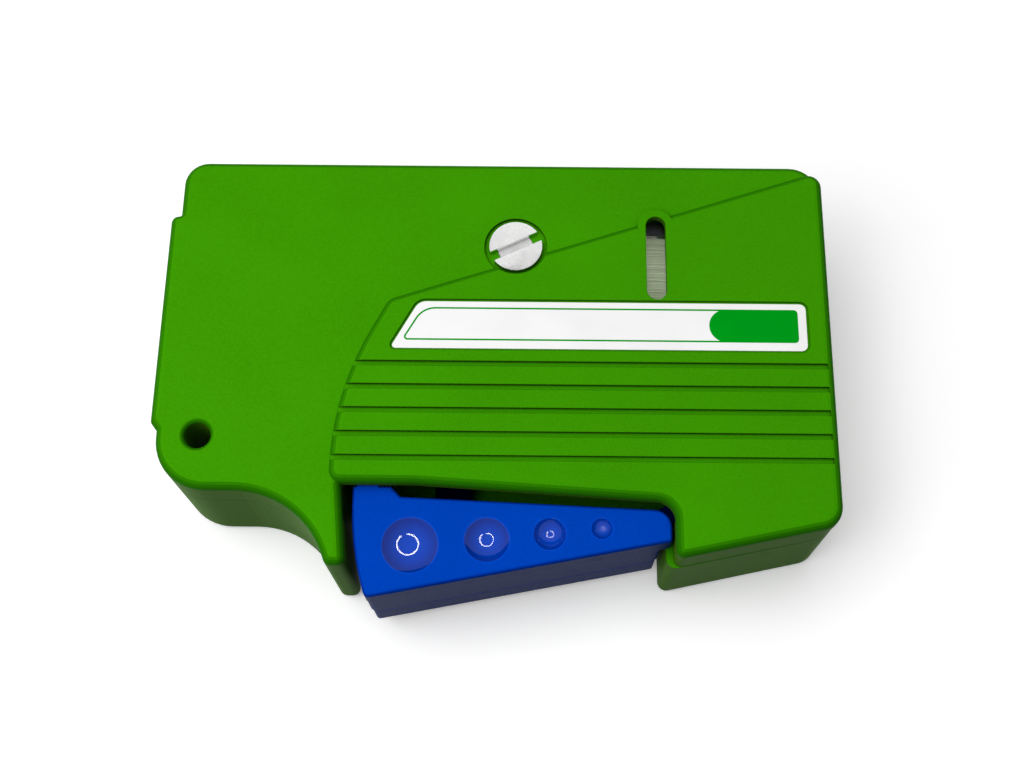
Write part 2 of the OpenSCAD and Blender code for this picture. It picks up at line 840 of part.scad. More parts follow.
// Holder that stands on the floor behind the pad
module pad_holder() {
    low = window_low + pad_r;
    high = window_low + window_len;
    color(grey) {
        box([pad_x + pad_t, low, wall], [pad_x + pad_t + holder_t, high, tape_z1]);
        box([pad_x + pad_t - holder_lip, low, wall], [pad_x + pad_t, high, shutter_z0 - 2 * gap]);
    }
}

// Soft pad that backs the tape behind the windows
module cleaning_pad() {
    color("dimgray")
        slab([[pad_x + pad_t, window_low + window_len, tiny_r], [pad_x, window_low + window_len, pad_r],
            [pad_x, window_low, pad_r], [pad_x + pad_t, window_low, tiny_r]], tape_z0, tape_z1);
}

// Guide roller with a shallow flange at its foot
module roller(at) {
    difference() {
        union() {
            post(at, roller_r, tape_z0 - gap, tape_z1);
            post(at, roller_r + roller_lip, tape_z0 - gap, tape_z0 - gap / 2);
        }
        post(at, roller_pin_r + run, tape_z0 - over, tape_z1 + over);
    }
}

module upper_roller() {
    color(white)
        roller(upper_roller_at);
}

module lower_roller() {
    color(white)
        roller(lower_roller_at);
}

// Pins of the guide rollers
module roller_pins() {
    color(steel)
        for (at = [upper_roller_at, lower_roller_at])
            post(at, roller_pin_r, wall, tape_z1 + gap / 2);
}

// Reel with one flange, pierced between its hub and its rim
module reel(at, bore, flange_r) {
    hole_r = (flange_r - hub_r) * flange_hole_share;
    difference() {
        union() {
            post(at, flange_r, flange_z0, flange_z0 + flange_t);
            translate([at[0], at[1], flange_z0 + flange_t / 2])
                linear_extrude(tape_z1 - flange_z0 - flange_t / 2) {
                    ring_shape(hub_r, hub_r - hub_wall);
                    ring_shape(bore + hub_wall, bore);
                    for (a = [0:120:240])
                        rotate(a)
                            translate([bore + hub_wall / 2, -hub_wall / 2])
                                square([hub_r - bore - hub_wall, hub_wall]);
                }
        }
        post(at, bore, flange_z0 - over, tape_z0);
        for (a = [30:60:330])
            post(polar(at, (flange_r + hub_r) / 2, a), hole_r, flange_z0 - over, tape_z0);
    }
}

module supply_reel() {
    color(grey)
        reel(supply_at, supply_spindle_r + run, supply_flange_r);
}

module take_up_reel() {
    color(grey)
        reel(take_up_at, take_up_spindle_r + run, take_up_flange_r);
}

// Wound tape on a hub
module roll(at, r) {
    tube(at, r, hub_r, tape_z0, tape_z1);
}

module supply_roll() {
    color(white)
        roll(supply_at, supply_r);
}

module take_up_roll() {
    color(white)
        roll(take_up_at, take_up_r);
}

// Ratchet wheel under the take-up reel
module ratchet_wheel() {
    points = [for (i = [0:ratchet_teeth - 1]) each [
        polar(take_up_at, tooth_root_r, tooth_phase + i * tooth_pitch),
        polar(take_up_at, tooth_tip_r, tooth_phase + i * tooth_pitch),
        polar(take_up_at, (tooth_tip_r + tooth_root_r) / 2,
            tooth_phase + (i + tooth_back_share) * tooth_pitch)]];
    color("gainsboro")
        difference() {
            translate([0, 0, wheel_z0])
                linear_extrude(wheel_t)
                    polygon(points);
            post(take_up_at, take_up_spindle_r + run, wheel_z0 - over, flange_z0 + over);
        }
}

// Direction of the outer tangent from circle a to circle b, both above it
function tangent_angle(a, ra, b, rb) =
    atan2(b[1] - a[1], b[0] - a[0]) - asin((rb - ra) / norm(b - a));

// Points on an arc about c
function arc(c, r, from, to, n) = [for (i = [0:n]) polar(c, r, from + (to - from) * i / n)];

// Tape that runs from the supply roll, past the windows, to the take-up roll
module tape_web() {
    mid = web_gap + tape_t / 2;
    far = roller_r + mid;
    in_angle = tangent_angle(supply_at, supply_r + mid, upper_roller_at, far) - 180;
    face_x = pad_x - run - tape_t / 2;
    corner_at = [pad_x + pad_r, window_low + pad_r];
    pad_top = window_low + window_len;
    out_angle = tangent_angle(lower_roller_at, far, take_up_at, take_up_r + mid);
    supply_angle = in_angle + 90;
    drop = [face_x, pad_top] - upper_roller_at;
    drop_angle = atan2(drop[1], drop[0]) + 360 - acos(far / norm(drop));
    centre = concat(
        [polar(supply_at, supply_r + mid, supply_angle)],
        arc(upper_roller_at, far, supply_angle, drop_angle, 8),
        [[face_x, pad_top]],
        arc(corner_at, corner_at[0] - face_x, 180, 265, 6),
        arc(lower_roller_at, far, 262, 270 + out_angle, 3),
        [polar(take_up_at, take_up_r + mid, out_angle - 90)]);
    color(white)
        translate([0, 0, tape_z0])
            linear_extrude(tape_w)
                band(centre, tape_t);
}

// Flat band of width w along a path
module band(path, w) {
    n = len(path);
    sides = [for (i = [0:n - 1])
        let (d = unit(path[min(i + 1, n - 1)] - path[max(i - 1, 0)])) [-d[1], d[0]] * w / 2];
    polygon(concat([for (i = [0:n - 1]) path[i] + sides[i]],
        [for (i = [n - 1:-1:0]) path[i] - sides[i]]));
}

// Sprung leaf that stops the ratchet wheel from turning back
module holding_pawl() {
    root = [pawl_block[0] + block_w / 2, pawl_block[1] + block_w];
    tip = polar(take_up_at, holding_r, tooth_phase + holding_tooth * tooth_pitch - holding_back_angle);
    color("gainsboro")
        translate([0, 0, wheel_z0])
            linear_extrude(wheel_t)
                band([root, [root[0], pawl_block[1]], tip], leaf_t);
}

// Pawl on the lever's drive arm, hooked into a tooth of the ratchet wheel
module drive_pawl() {
    tip = polar(take_up_at, tooth_work_r, tooth_phase);
    long = norm(tip - pawl_at);
    along = unit(tip - pawl_at);
    across = [along[1], -along[0]];
    outline = [
        [pawl_r, 0],
        [hook_out, long * hook_body_share],
        [hook_out, long - hook_drop],
        [0, long - hook_slack],
        [-hook_nose, long - hook_slack - hook_nose / 3],
        [-hook_nose, long - hook_t],
        [hook_in, long - hook_t - hook_nose * 2],
        [hook_in, long * hook_body_share],
        [-pawl_r, pawl_r / 2],
        [-pawl_r, 0]];
    color("gainsboro")
        difference() {
            union() {
                translate([0, 0, wheel_z0])
                    linear_extrude(pawl_t)
                        polygon([for (p = outline) pawl_at + p[0] * across + p[1] * along]);
                post(pawl_at, pawl_r, wheel_z0, wheel_z0 + pawl_t);
            }
            post(pawl_at, pawl_pin_r + run, wheel_z0 - over, wheel_z0 + pawl_t + over);
        }
}

// Pin of the drive pawl
module pawl_pin() {
    color(steel)
        post(pawl_at, pawl_pin_r, drive_arm_z0, wheel_z0 + pawl_t);
}

// Leaf on the lever's arm that presses the pawl against the wheel
module pawl_spring() {
    color(steel)
        translate([0, 0, wheel_z0])
            linear_extrude(pawl_t)
                band([pawl_at + [pawl_r + leaf_away, -pawl_r], pawl_at + [pawl_r + leaf_away, pawl_r],
                    pawl_at + [pawl_r + leaf_away, pawl_r * 3]], leaf_t / 2);
}

// Hollow inside of a lever half
module lever_hollow(z0, z1) {
    slab(lever_body_outline, z0, z1, lever_wall);
}

// Lug that carries the lever on its pin
module lug(z0, z1) {
    translate([0, 0, z0])
        linear_extrude(z1 - z0)
            difference() {
                union() {
                    translate(pivot)
                        circle(r = lug_r);
                    bar_shape([lever_end - lug_r, pivot[1] - lug_r], pivot, lug_r);
                }
                translate(pivot)
                    circle(r = pin_r + run);
            }
}

// Front half of the lever, with the dimples and the arm that moves the shutter
module lever_front() {
    color(blue)
        difference() {
            union() {
                difference() {
                    union() {
                        dome(lever_outline, lever_plate_z0, lever_z1, lever_edge_r);
                        slab(lever_body_outline, split_z + seam_w / 2, lever_plate_z0 + over, lever_step);
                        slab(lever_body_outline, split_z, split_z + seam_w, lever_step + seam_deep);
                    }
                    lever_hollow(split_z - over, lever_z1 - lever_face_t);
                }
                lug(part_z - lug_t, part_z);
                translate([0, 0, shutter_arm_z0])
                    linear_extrude(shutter_arm_t) {
                        bar_shape(arm_foot, arm_bend_low, arm_w);
                        bar_shape(arm_bend_low, arm_bend, arm_w);
                        bar_shape(arm_bend, arm_pin, arm_w);
                    }
                post(arm_pin, arm_pin_r, bracket_z0 - gap, shutter_arm_z0 + shutter_arm_t / 2);
            }
            for (i = [0:len(dimple_d_shares) - 1])
                dimple([lever_left + dimple_x_shares[i] * (lever_end - lever_left),
                    bottom + dimple_y_shares[i] * lever_h], dimple_d * dimple_d_shares[i] / 2);
        }
}

// Spherical bowl with rim radius r in the lever's face
module dimple(at, r) {
    deep = 2 * r * dimple_depth_share;
    ball = (r * r + deep * deep) / (2 * deep);
    translate([at[0], at[1], lever_z1 - deep + ball])
        sphere(r = ball, $fn = 96);
}

// Back half of the lever, with the arm that carries the drive pawl
module lever_back() {
    color(blue)
        difference() {
            union() {
                difference() {
                    union() {
                        translate([0, 0, split_z])
                            mirror([0, 0, 1])
                                dome(lever_body_outline, seam_w / 2, split_z - lever_z0, lever_edge_r,
                                    lever_back_step);
                        slab(lever_body_outline, split_z - seam_w, split_z, lever_step + seam_deep);
                    }
                    lever_hollow(lever_z0 + lever_wall, split_z + over);
                }
                lug(lever_z0, lever_z0 + lug_t);
                bar([pawl_at[0] - arm_w / 2, lever_shoulder_y - drive_arm_w], pawl_at, drive_arm_w,
                    drive_arm_z0, drive_arm_z0 + drive_arm_t);
            }
            post(pawl_at, pawl_pin_r, lever_z0, wheel_z0);
        }
}

// Pin that the lever turns on
module lever_pin() {
    color(steel)
        post(pivot, pin_r, wall, roof_z + pin_seat);
}

// Torsion spring round the lever's pin, between the two lugs
module lever_spring() {
    z0 = lever_z0 + lug_t + lever_wire / 2 + gap;
    height = part_z - lug_t - lever_wire / 2 - gap - z0;
    steps = floor(height / (lever_wire + lever_coil_gap)) * spring_steps;
    coil = [for (i = [0:steps])
        [pivot[0] + lever_coil_r * cos(360 * i / spring_steps),
            pivot[1] + lever_coil_r * sin(360 * i / spring_steps), z0 + height * i / steps]];
    first_leg = [coil[0] - [0, lever_coil_leg, 0]];
    last_leg = [coil[steps] + [0, lever_coil_leg, 0]];
    color(steel)
        wire(concat(first_leg, coil, last_leg), lever_wire / 2, [0, 0, 1]);
}

// Brake leaf that drags on the supply reel's flange
module supply_brake() {
    root = [brake_block[0] + block_w / 2, brake_block[1]];
    touch = polar(supply_at, supply_flange_r + gap + brake_pad_r, brake_angle);
    color(steel)
        union() {
            translate([0, 0, flange_z0 - brake_h])
                linear_extrude(brake_h + flange_t)
                    band([root, root + [0, block_w], touch], leaf_t);
            post(touch, brake_pad_r, flange_z0 - brake_h, flange_z0 + flange_t);
        }
}

back_shell();
front_cover();
sight_window();
label_plate();
cover_screw();
screw_clip();
screw_insert();
window_plate();
shutter();
pad_holder();
cleaning_pad();
upper_roller();
lower_roller();
roller_pins();
supply_reel();
supply_roll();
take_up_reel();
take_up_roll();
ratchet_wheel();
tape_web();
holding_pawl();
drive_pawl();
pawl_pin();
pawl_spring();
lever_front();
lever_back();
lever_pin();
lever_spring();
supply_brake();
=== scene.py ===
"""Looks of the reel cassette that cleans fibre optic connectors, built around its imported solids.

Lengths are in metres, in the frame of the solids: X along the width, Y up the height and Z out
of the labelled front.
"""

import math
import random

import bmesh
import bpy
from mathutils import Matrix, Vector


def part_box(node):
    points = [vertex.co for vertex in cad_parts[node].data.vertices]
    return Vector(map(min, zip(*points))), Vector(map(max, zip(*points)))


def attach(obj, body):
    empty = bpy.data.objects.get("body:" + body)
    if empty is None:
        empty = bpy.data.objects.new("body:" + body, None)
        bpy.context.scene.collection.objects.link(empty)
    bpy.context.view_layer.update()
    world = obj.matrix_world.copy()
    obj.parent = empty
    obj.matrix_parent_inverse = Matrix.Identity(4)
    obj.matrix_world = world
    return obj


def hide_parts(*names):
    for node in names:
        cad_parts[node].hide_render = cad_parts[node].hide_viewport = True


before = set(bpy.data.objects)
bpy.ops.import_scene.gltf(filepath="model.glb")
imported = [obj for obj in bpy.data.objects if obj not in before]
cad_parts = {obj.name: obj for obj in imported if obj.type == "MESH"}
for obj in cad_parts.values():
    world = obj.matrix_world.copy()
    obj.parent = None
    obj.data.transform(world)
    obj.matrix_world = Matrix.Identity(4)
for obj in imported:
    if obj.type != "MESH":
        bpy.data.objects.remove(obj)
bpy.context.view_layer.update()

bl_info = {
    "name": "Fibre Cleaning Cassette",
    "version": (1, 0, 0),
    "blender": (4, 5, 0),
    "location": "View3D > Sidebar > Cassette",
    "description": "Dresses the cassette's solids, prints its label and sets its stage",
    "category": "Add Mesh",
}

MM = 0.001
# Centre and rim radius of each finger dimple in the lever's face, and the share to which its gloss
# shrinks the mirrored ring lamp
BOWLS = tuple((x * MM, y * MM, r * MM, size) for x, y, r, size in (
    (-15.1, -34.1, 5.3, 1.0), (-0.9, -33.0, 4.25, 0.79), (10.8, -31.8, 3.1, 0.55),
    (20.5, -30.7, 2.05, 0.5)))
# Radius of the ball that hollows a dimple, over the radius of the dimple's rim
BOWL_BALL = 1.64
# Share of painted light and shade that sharp edges take: the rims' darker colour as painted shade on
# grained mouldings, a lighter one as a painted highlight on smooth ones
EDGE_LIGHT_AND_SHADE = 0.3
# Height below which the lever's flat faces lie in the housing's shade, and how far below the top of
# its back half the lever's dark line runs
LEVER_SHADE = 24.5 * MM
LEVER_LINE_DROP = 1.9 * MM
# Smallest radius of a printed corner, in millimetres
LEAST_CORNER = 0.02
# Soft lamps: place and diameter, and the turn of the one overhead. The near one faces the origin
KEY_AT, KEY_WIDE, KEY_TURN = (-1.0, 0.6, 5.0), 6.0, (math.radians(-7), math.radians(-11), 0)
NEAR_AT, NEAR_WIDE = (-0.2, -0.1, 0.3), 0.3
# Ring lamp: radius of its tube, the angle in degrees where it starts and that over which it runs, its
# way from the camera in X, and its place in Y
RING_TUBE, RING_START, RING_SWEEP, RING_ASIDE, RING_Y = 0.0095, 305, 328, -0.01, 0.008


# Properties


class CassetteColours(bpy.types.PropertyGroup):
    """Colours of the mouldings, print, cloth, metal and foam, as they look in plain light, and the painted
    shade of the mouldings' rims and walls
    """

    housing: bpy.props.FloatVectorProperty(
        name="Housing", description="Face colour of both housing shells", subtype="COLOR",
        size=3, min=0, max=1, default=(0.043, 0.284, 0.001))
    # Painted shade: darker green for rounded edges, creases and gaps, where less light falls. Also the real
    # colour of the dark seam line
    housing_rim_shade_and_seam: bpy.props.FloatVectorProperty(
        name="Housing rim", description="Colour along the shells' rounded edges", subtype="COLOR",
        size=3, min=0, max=1, default=(0.012, 0.13, 0.0))
    # Painted shade: duller green for upright walls, which lie in shade
    housing_wall_shade: bpy.props.FloatVectorProperty(
        name="Housing wall", description="Duller colour of the shells' upright walls", subtype="COLOR",
        size=3, min=0, max=1, default=(0.062, 0.16, 0.006))
    lever: bpy.props.FloatVectorProperty(
        name="Lever", description="Face colour of the squeeze lever", subtype="COLOR",
        size=3, min=0, max=1, default=(0.0, 0.048, 0.43))
    # Painted shade: darker blue for the lever's edges, creases and gaps, where less light falls
    lever_rim_shade: bpy.props.FloatVectorProperty(
        name="Lever rim", description="Colour along the lever's edges", subtype="COLOR",
        size=3, min=0, max=1, default=(0.0, 0.02, 0.25))
    # Painted shade: duller blue for the lever's upright walls, which lie in shade
    lever_wall_shade: bpy.props.FloatVectorProperty(
        name="Lever wall", description="Duller colour of the lever's upright walls", subtype="COLOR",
        size=3, min=0, max=1, default=(0.014, 0.031, 0.113))
    film: bpy.props.FloatVectorProperty(
        name="Label film", description="White of the printed label", subtype="COLOR",
        size=3, min=0, max=1, default=(0.95, 0.95, 0.95))
    ink: bpy.props.FloatVectorProperty(
        name="Label ink", description="Green of the label's frame and field", subtype="COLOR",
        size=3, min=0, max=1, default=(0.0, 0.325, 0.011))
    cloth: bpy.props.FloatVectorProperty(
        name="Cleaning cloth", description="Colour of the wound cleaning tape", subtype="COLOR",
        size=3, min=0, max=1, default=(0.575, 0.635, 0.415))
    mechanism: bpy.props.FloatVectorProperty(
        name="Mechanism", description="Dark moulded parts inside the housing", subtype="COLOR",
        size=3, min=0, max=1, default=(0.03, 0.035, 0.045))
    acetal: bpy.props.FloatVectorProperty(
        name="Acetal", description="White moulded wheel, pawls and rollers", subtype="COLOR",
        size=3, min=0, max=1, default=(0.72, 0.72, 0.69))
    steel: bpy.props.FloatVectorProperty(
        name="Coin screw", description="Turned steel of the coin screw", subtype="COLOR",
        size=3, min=0, max=1, default=(0.99, 0.99, 0.98))
    brass: bpy.props.FloatVectorProperty(
        name="Insert", description="Turned brass of the threaded insert", subtype="COLOR",
        size=3, min=0, max=1, default=(0.78, 0.55, 0.2))
    pins: bpy.props.FloatVectorProperty(
        name="Pins", description="Ground steel of the pins", subtype="COLOR",
        size=3, min=0, max=1, default=(0.72, 0.72, 0.74))
    wire: bpy.props.FloatVectorProperty(
        name="Springs", description="Drawn wire and strip of the springs", subtype="COLOR",
        size=3, min=0, max=1, default=(0.55, 0.55, 0.57))
    foam: bpy.props.FloatVectorProperty(
        name="Pad", description="Foam of the backing pad", subtype="COLOR",
        size=3, min=0, max=1, default=(0.03, 0.03, 0.032))


class CassetteFinish(bpy.types.PropertyGroup):
    """Sizes of the surface detail"""

    grain: bpy.props.FloatProperty(
        name="Grain", description="Spacing of the moulded texture", unit="LENGTH",
        min=0.0001, max=0.002, default=0.00038)
    grain_depth: bpy.props.FloatProperty(
        name="Grain depth", description="Height of the moulded texture", unit="LENGTH",
        min=0, max=0.0002, default=0.00003)
    edge: bpy.props.FloatProperty(
        name="Edge", description="Radius that softens the sharp moulded edges", unit="LENGTH",
        min=0, max=0.001, default=0.00022)
    seam: bpy.props.FloatProperty(
        name="Seam", description="Width of the dark line where the shells meet", unit="LENGTH",
        min=0, max=0.001, default=0.00016)
    lever_seam: bpy.props.FloatProperty(
        name="Lever seam", description="Width of the dark line round the middle of the lever",
        unit="LENGTH", min=0, max=0.003, default=0.0021)
    winding: bpy.props.FloatProperty(
        name="Winding", description="Spacing of the turns that show on the end of a roll",
        unit="LENGTH", min=0.0001, max=0.002, default=0.00036)


class CassetteStage(bpy.types.PropertyGroup):
    """Camera and light"""

    eye: bpy.props.FloatVectorProperty(
        name="Camera place", description="Where the camera stands", subtype="XYZ", unit="LENGTH",
        size=3, default=(0.00703, -0.09553, 0.2899))
    tilt: bpy.props.FloatProperty(
        name="Tilt", description="Angle between the view and straight down", subtype="ANGLE",
        default=math.radians(20.52))
    roll: bpy.props.FloatProperty(
        name="Roll", description="Turn of the camera about its own axis", subtype="ANGLE",
        default=math.radians(0.505))
    lens: bpy.props.FloatProperty(
        name="Focal length", description="Focal length in millimetres on a 36 mm sensor",
        min=10, max=200, default=50.73)
    shift: bpy.props.FloatVectorProperty(
        name="Shift", description="Shift of the image as a share of its width", size=2,
        default=(-0.01871, -0.0224))
    key_power: bpy.props.FloatProperty(
        name="Key light", description="Power of the overhead soft light", subtype="POWER",
        min=0, default=222.0)
    near_power: bpy.props.FloatProperty(
        name="Near light", description="Power of the small soft lamp on the left", subtype="POWER",
        min=0, default=0.54)
    ring_strength: bpy.props.FloatProperty(
        name="Ring light", description="Strength of the ring lamp over the object",
        min=0, default=52.0)
    ring_radius: bpy.props.FloatProperty(
        name="Ring radius", description="Radius of the ring lamp", unit="LENGTH",
        min=0.02, max=0.5, default=0.126)
    surround: bpy.props.FloatProperty(
        name="Surround", description="Brightness of the room round the object", min=0, max=2,
        default=0.07)


# Node helpers


def node(tree, kind, inputs=None, **props):
    """New shader node with its properties and the values of its sockets set"""
    made = tree.nodes.new(kind)
    for name, value in props.items():
        setattr(made, name, value)
    for socket, value in (inputs or {}).items():
        if isinstance(value, bpy.types.NodeSocket):
            tree.links.new(value, made.inputs[socket])
        else:
            made.inputs[socket].default_value = value
    return made


def new_material(name):
    """Material with an empty Principled surface. Returns the material, its tree and the shader"""
    material = bpy.data.materials.new(name)
    material.use_nodes = True
    tree = material.node_tree
    return material, tree, tree.nodes["Principled BSDF"]


def place(tree):
    """Position on the piece in metres, the same at each pose"""
    return node(tree, "ShaderNodeTexCoord").outputs["Object"]


def noise(tree, where, scale, detail=2.0, rough=0.5):
    """Noise whose features are about 1 / scale metres across"""
    return node(tree, "ShaderNodeTexNoise", {"Vector": where, "Scale": scale, "Detail": detail,
                                             "Roughness": rough}).outputs["Fac"]


def spread(tree, value, low, high, to_low=0.0, to_high=1.0, smooth=False):
    """Value moved from one range to another, and held inside it"""
    made = node(tree, "ShaderNodeMapRange", {"Value": value, "From Min": low, "From Max": high,
                                             "To Min": to_low, "To Max": to_high})
    if smooth:
        made.interpolation_type = "SMOOTHSTEP"
    return made.outputs["Result"]


def vary(tree, pattern, low=0.0, high=1.0):
    """Noise, most of which lies between 0.3 and 0.7, moved to a range"""
    return spread(tree, pattern, 0.3, 0.7, low, high)


def sums(tree, how, a, b):
    """Result of one sum of two values"""
    return node(tree, "ShaderNodeMath", {0: a, 1: b}, operation=how).outputs["Value"]


def gap_between(tree, a, b):
    """How far two values lie apart"""
    return sums(tree, "ABSOLUTE", sums(tree, "SUBTRACT", a, b), 0)


def stretched(tree, where, scale):
    """Place with its axes scaled, which draws a pattern out along the least scaled ones"""
    return node(tree, "ShaderNodeMapping", {"Vector": where, "Scale": scale}).outputs[0]


def axis_reach(tree, where, at):
    """Distance from the upright axis through a point"""
    flat = node(tree, "ShaderNodeVectorMath", {0: where, 1: (1, 1, 0)}, operation="MULTIPLY").outputs[0]
    reach = node(tree, "ShaderNodeVectorMath", {0: flat, 1: (at[0], at[1], 0)}, operation="DISTANCE")
    return reach.outputs["Value"]


def rings(tree, scaled_reach, detail):
    """Uneven rings, about one for each unit of a scaled distance"""
    return node(tree, "ShaderNodeTexNoise", {"W": scaled_reach, "Scale": 1.0, "Detail": detail},
                noise_dimensions="1D").outputs["Fac"]


def upward(tree, vector):
    """Upward part of a vector"""
    return node(tree, "ShaderNodeSeparateXYZ", {0: vector}).outputs["Z"]


def blend_colour(tree, share, a, b):
    """Colour between a and b"""
    made = node(tree, "ShaderNodeMix", {0: share}, data_type="RGBA")
    for socket, value in ((6, a), (7, b)):
        if isinstance(value, bpy.types.NodeSocket):
            tree.links.new(value, made.inputs[socket])
        else:
            made.inputs[socket].default_value = value
    return made.outputs[2]


def relief(tree, shader, height, strength, depth, normal=None):
    """Fine relief of a surface, from a pattern of heights"""
    bump = node(tree, "ShaderNodeBump", {"Height": height, "Strength": strength, "Distance": depth})
    if normal is not None:
        tree.links.new(normal, bump.inputs["Normal"])
    tree.links.new(bump.outputs["Normal"], shader.inputs["Normal"])


def set_values(shader, **values):
    """Sets sockets that are the same all over the surface, named with _ for a space"""
    for name, value in values.items():
        shader.inputs[name.replace("_", " ")].default_value = value


def rgba(colour, gain=1.0):
    """Colour with its alpha, made lighter or darker"""
    return tuple(min(1.0, c * gain) for c in colour) + (1.0,)


def edge_share(tree, radius):
    """1 along sharp edges and 0 on flat faces, and the softened normal"""
    soft = node(tree, "ShaderNodeBevel", {"Radius": radius}, samples=6).outputs["Normal"]
    true = node(tree, "ShaderNodeNewGeometry").outputs["Normal"]
    turn = node(tree, "ShaderNodeVectorMath", {0: soft, 1: true}, operation="DOT_PRODUCT")
    return spread(tree, turn.outputs["Value"], 0.995, 0.82), soft


# Materials


def shade_shares(tree, distance):
    """Shares of painted shade from how open a point lies to the room: a mild one in corners and creases,
    and a deep one in narrow gaps
    """
    free = node(tree, "ShaderNodeAmbientOcclusion", {"Distance": distance}, samples=6).outputs["AO"]
    return spread(tree, free, 0.3, 0.92, 0.36, 0), spread(tree, free, 0.06, 0.34, 0.95, 0)


def grained(tree, where, specks, fine, colour):
    """Moulded colour with cloudy patches, paler grains and painted glints"""
    clouds = noise(tree, where, scale=45, detail=3)
    base = blend_colour(tree, vary(tree, clouds), rgba(colour, 0.94), rgba(colour, 1.06))
    base = blend_colour(tree, spread(tree, specks, 0.35, 0.65, 0, 0.45), base, rgba(colour, 1.3))
    # Painted glints: the brightest fine grains are painted nearly twice as light, as sparse light dots
    return blend_colour(tree, spread(tree, fine, 0.66, 0.8, 0, 0.6), base, rgba(colour, 1.9))


def shaded_rims_and_walls(tree, base, edge, facing, rim, upright):
    """Colour with painted shade: the rims' darker colour on edges and rounded rims, and a duller one on
    walls. Also returns the walls' share"""
    # Painted shade: sharp edges and rounded rims take the rims' darker colour, and upright walls a duller
    # one, as they face away from the light overhead
    base = blend_colour(tree, sums(tree, "MULTIPLY", edge, EDGE_LIGHT_AND_SHADE), base, rgba(rim))
    rounded = sums(tree, "MULTIPLY", spread(tree, facing, 0.99, 0.85), spread(tree, facing, 0.03, 0.14))
    base = blend_colour(tree, sums(tree, "MULTIPLY", rounded, 0.75), base, rgba(rim))
    wall = spread(tree, sums(tree, "ABSOLUTE", facing, 0), 0.02, 0.12, 0.9, 0)
    return blend_colour(tree, wall, base, rgba(upright)), wall


def dimpled(tree, shader, where, base, colour, bowls):
    """Colour with a painted highlight, a pale ring along each dimple's rim. The gloss inside mirrors the
    ring lamp, and its bent normals shrink the lamp's image"""
    gloss = curl = 0.0
    for x, y, radius, size in bowls:
        reach = axis_reach(tree, where, (x, y))
        # Painted highlight: a pale ring along the rim of each dimple
        lip_highlight = spread(tree, gap_between(tree, reach, radius), 0.05 * MM, 0.2 * MM, 0.5, 0)
        base = blend_colour(tree, lip_highlight, base, rgba(colour, 1.6))
        gloss = sums(tree, "ADD", gloss, spread(tree, reach, radius + 0.1 * MM, radius - 0.1 * MM))
        bent = sums(tree, "POWER", sums(tree, "MINIMUM", reach, radius), 2)
        bend = (1 / size - 1) / (2 * BOWL_BALL * radius)
        curl = sums(tree, "ADD", curl, sums(tree, "MULTIPLY", bent, bend))
    tree.links.new(gloss, shader.inputs["Coat Weight"])
    coat = node(tree, "ShaderNodeBump", {"Height": curl, "Strength": 1.0, "Distance": 1.0})
    tree.links.new(coat.outputs["Normal"], shader.inputs["Coat Normal"])
    set_values(shader, Coat_IOR=1.3, Coat_Roughness=0.03)
    return base


def moulded(name, colours, seam_at, seam_width, shade_reach, roughness=0.5, bowls=()):
    """Moulded plastic with a fine spark-eroded grain, painted glints, painted shade darkening its rounded
    rims, walls, creases and gaps, and light handling wear
    """
    finish = bpy.context.scene.cassette_finish
    colour, rim, upright, joint = colours
    material, tree, shader = new_material(name)
    where = place(tree)
    height = upward(tree, where)
    facing = upward(tree, node(tree, "ShaderNodeNewGeometry").outputs["Normal"])
    edge, soft = edge_share(tree, finish.edge)
    specks = noise(tree, where, scale=1 / finish.grain, detail=3, rough=0.6)
    fine = noise(tree, where, scale=2.6 / finish.grain)
    base, wall = shaded_rims_and_walls(tree, grained(tree, where, specks, fine, colour), edge, facing, rim, upright)
    line = spread(tree, gap_between(tree, height, seam_at), seam_width * 0.4, seam_width, 1, 0, True)
    base = blend_colour(tree, sums(tree, "MULTIPLY", line, wall), base, rgba(joint, 0.4))
    # Painted shade: the lever's upward faces below LEVER_SHADE, in the housing's shadow, are painted nearly
    # black
    if bowls:
        ledge_shade = sums(tree, "MULTIPLY", spread(tree, height, LEVER_SHADE, LEVER_SHADE - 1 * MM),
                     spread(tree, facing, 0.5, 0.9))
        base = blend_colour(tree, ledge_shade, base, rgba(rim, 0.05))
    # Painted shade: corners and creases take the rims' darker colour, and deep gaps a nearly black one
    crease_shade, hollow_shade = shade_shares(tree, shade_reach)
    base = blend_colour(tree, crease_shade, base, rgba(rim, 0.8))
    base = blend_colour(tree, hollow_shade, base, rgba(rim, 0.24))
    if bowls:
        base = dimpled(tree, shader, where, base, colour, bowls)
    tree.links.new(base, shader.inputs["Base Color"])
    scuffs = noise(tree, stretched(tree, where, (1, 5, 1)), scale=180, detail=4)
    gloss = sums(tree, "ADD", vary(tree, specks, roughness - 0.05, roughness + 0.07),
                 spread(tree, scuffs, 0.62, 0.8, 0, 0.08))
    tree.links.new(gloss, shader.inputs["Roughness"])
    grain = sums(tree, "ADD", specks, sums(tree, "MULTIPLY", fine, 0.4))
    relief(tree, shader, grain, 0.32, finish.grain_depth, soft)
    set_values(shader, Specular_IOR_Level=0.02, Specular_Tint=rgba(colour, 2.5))
    return material


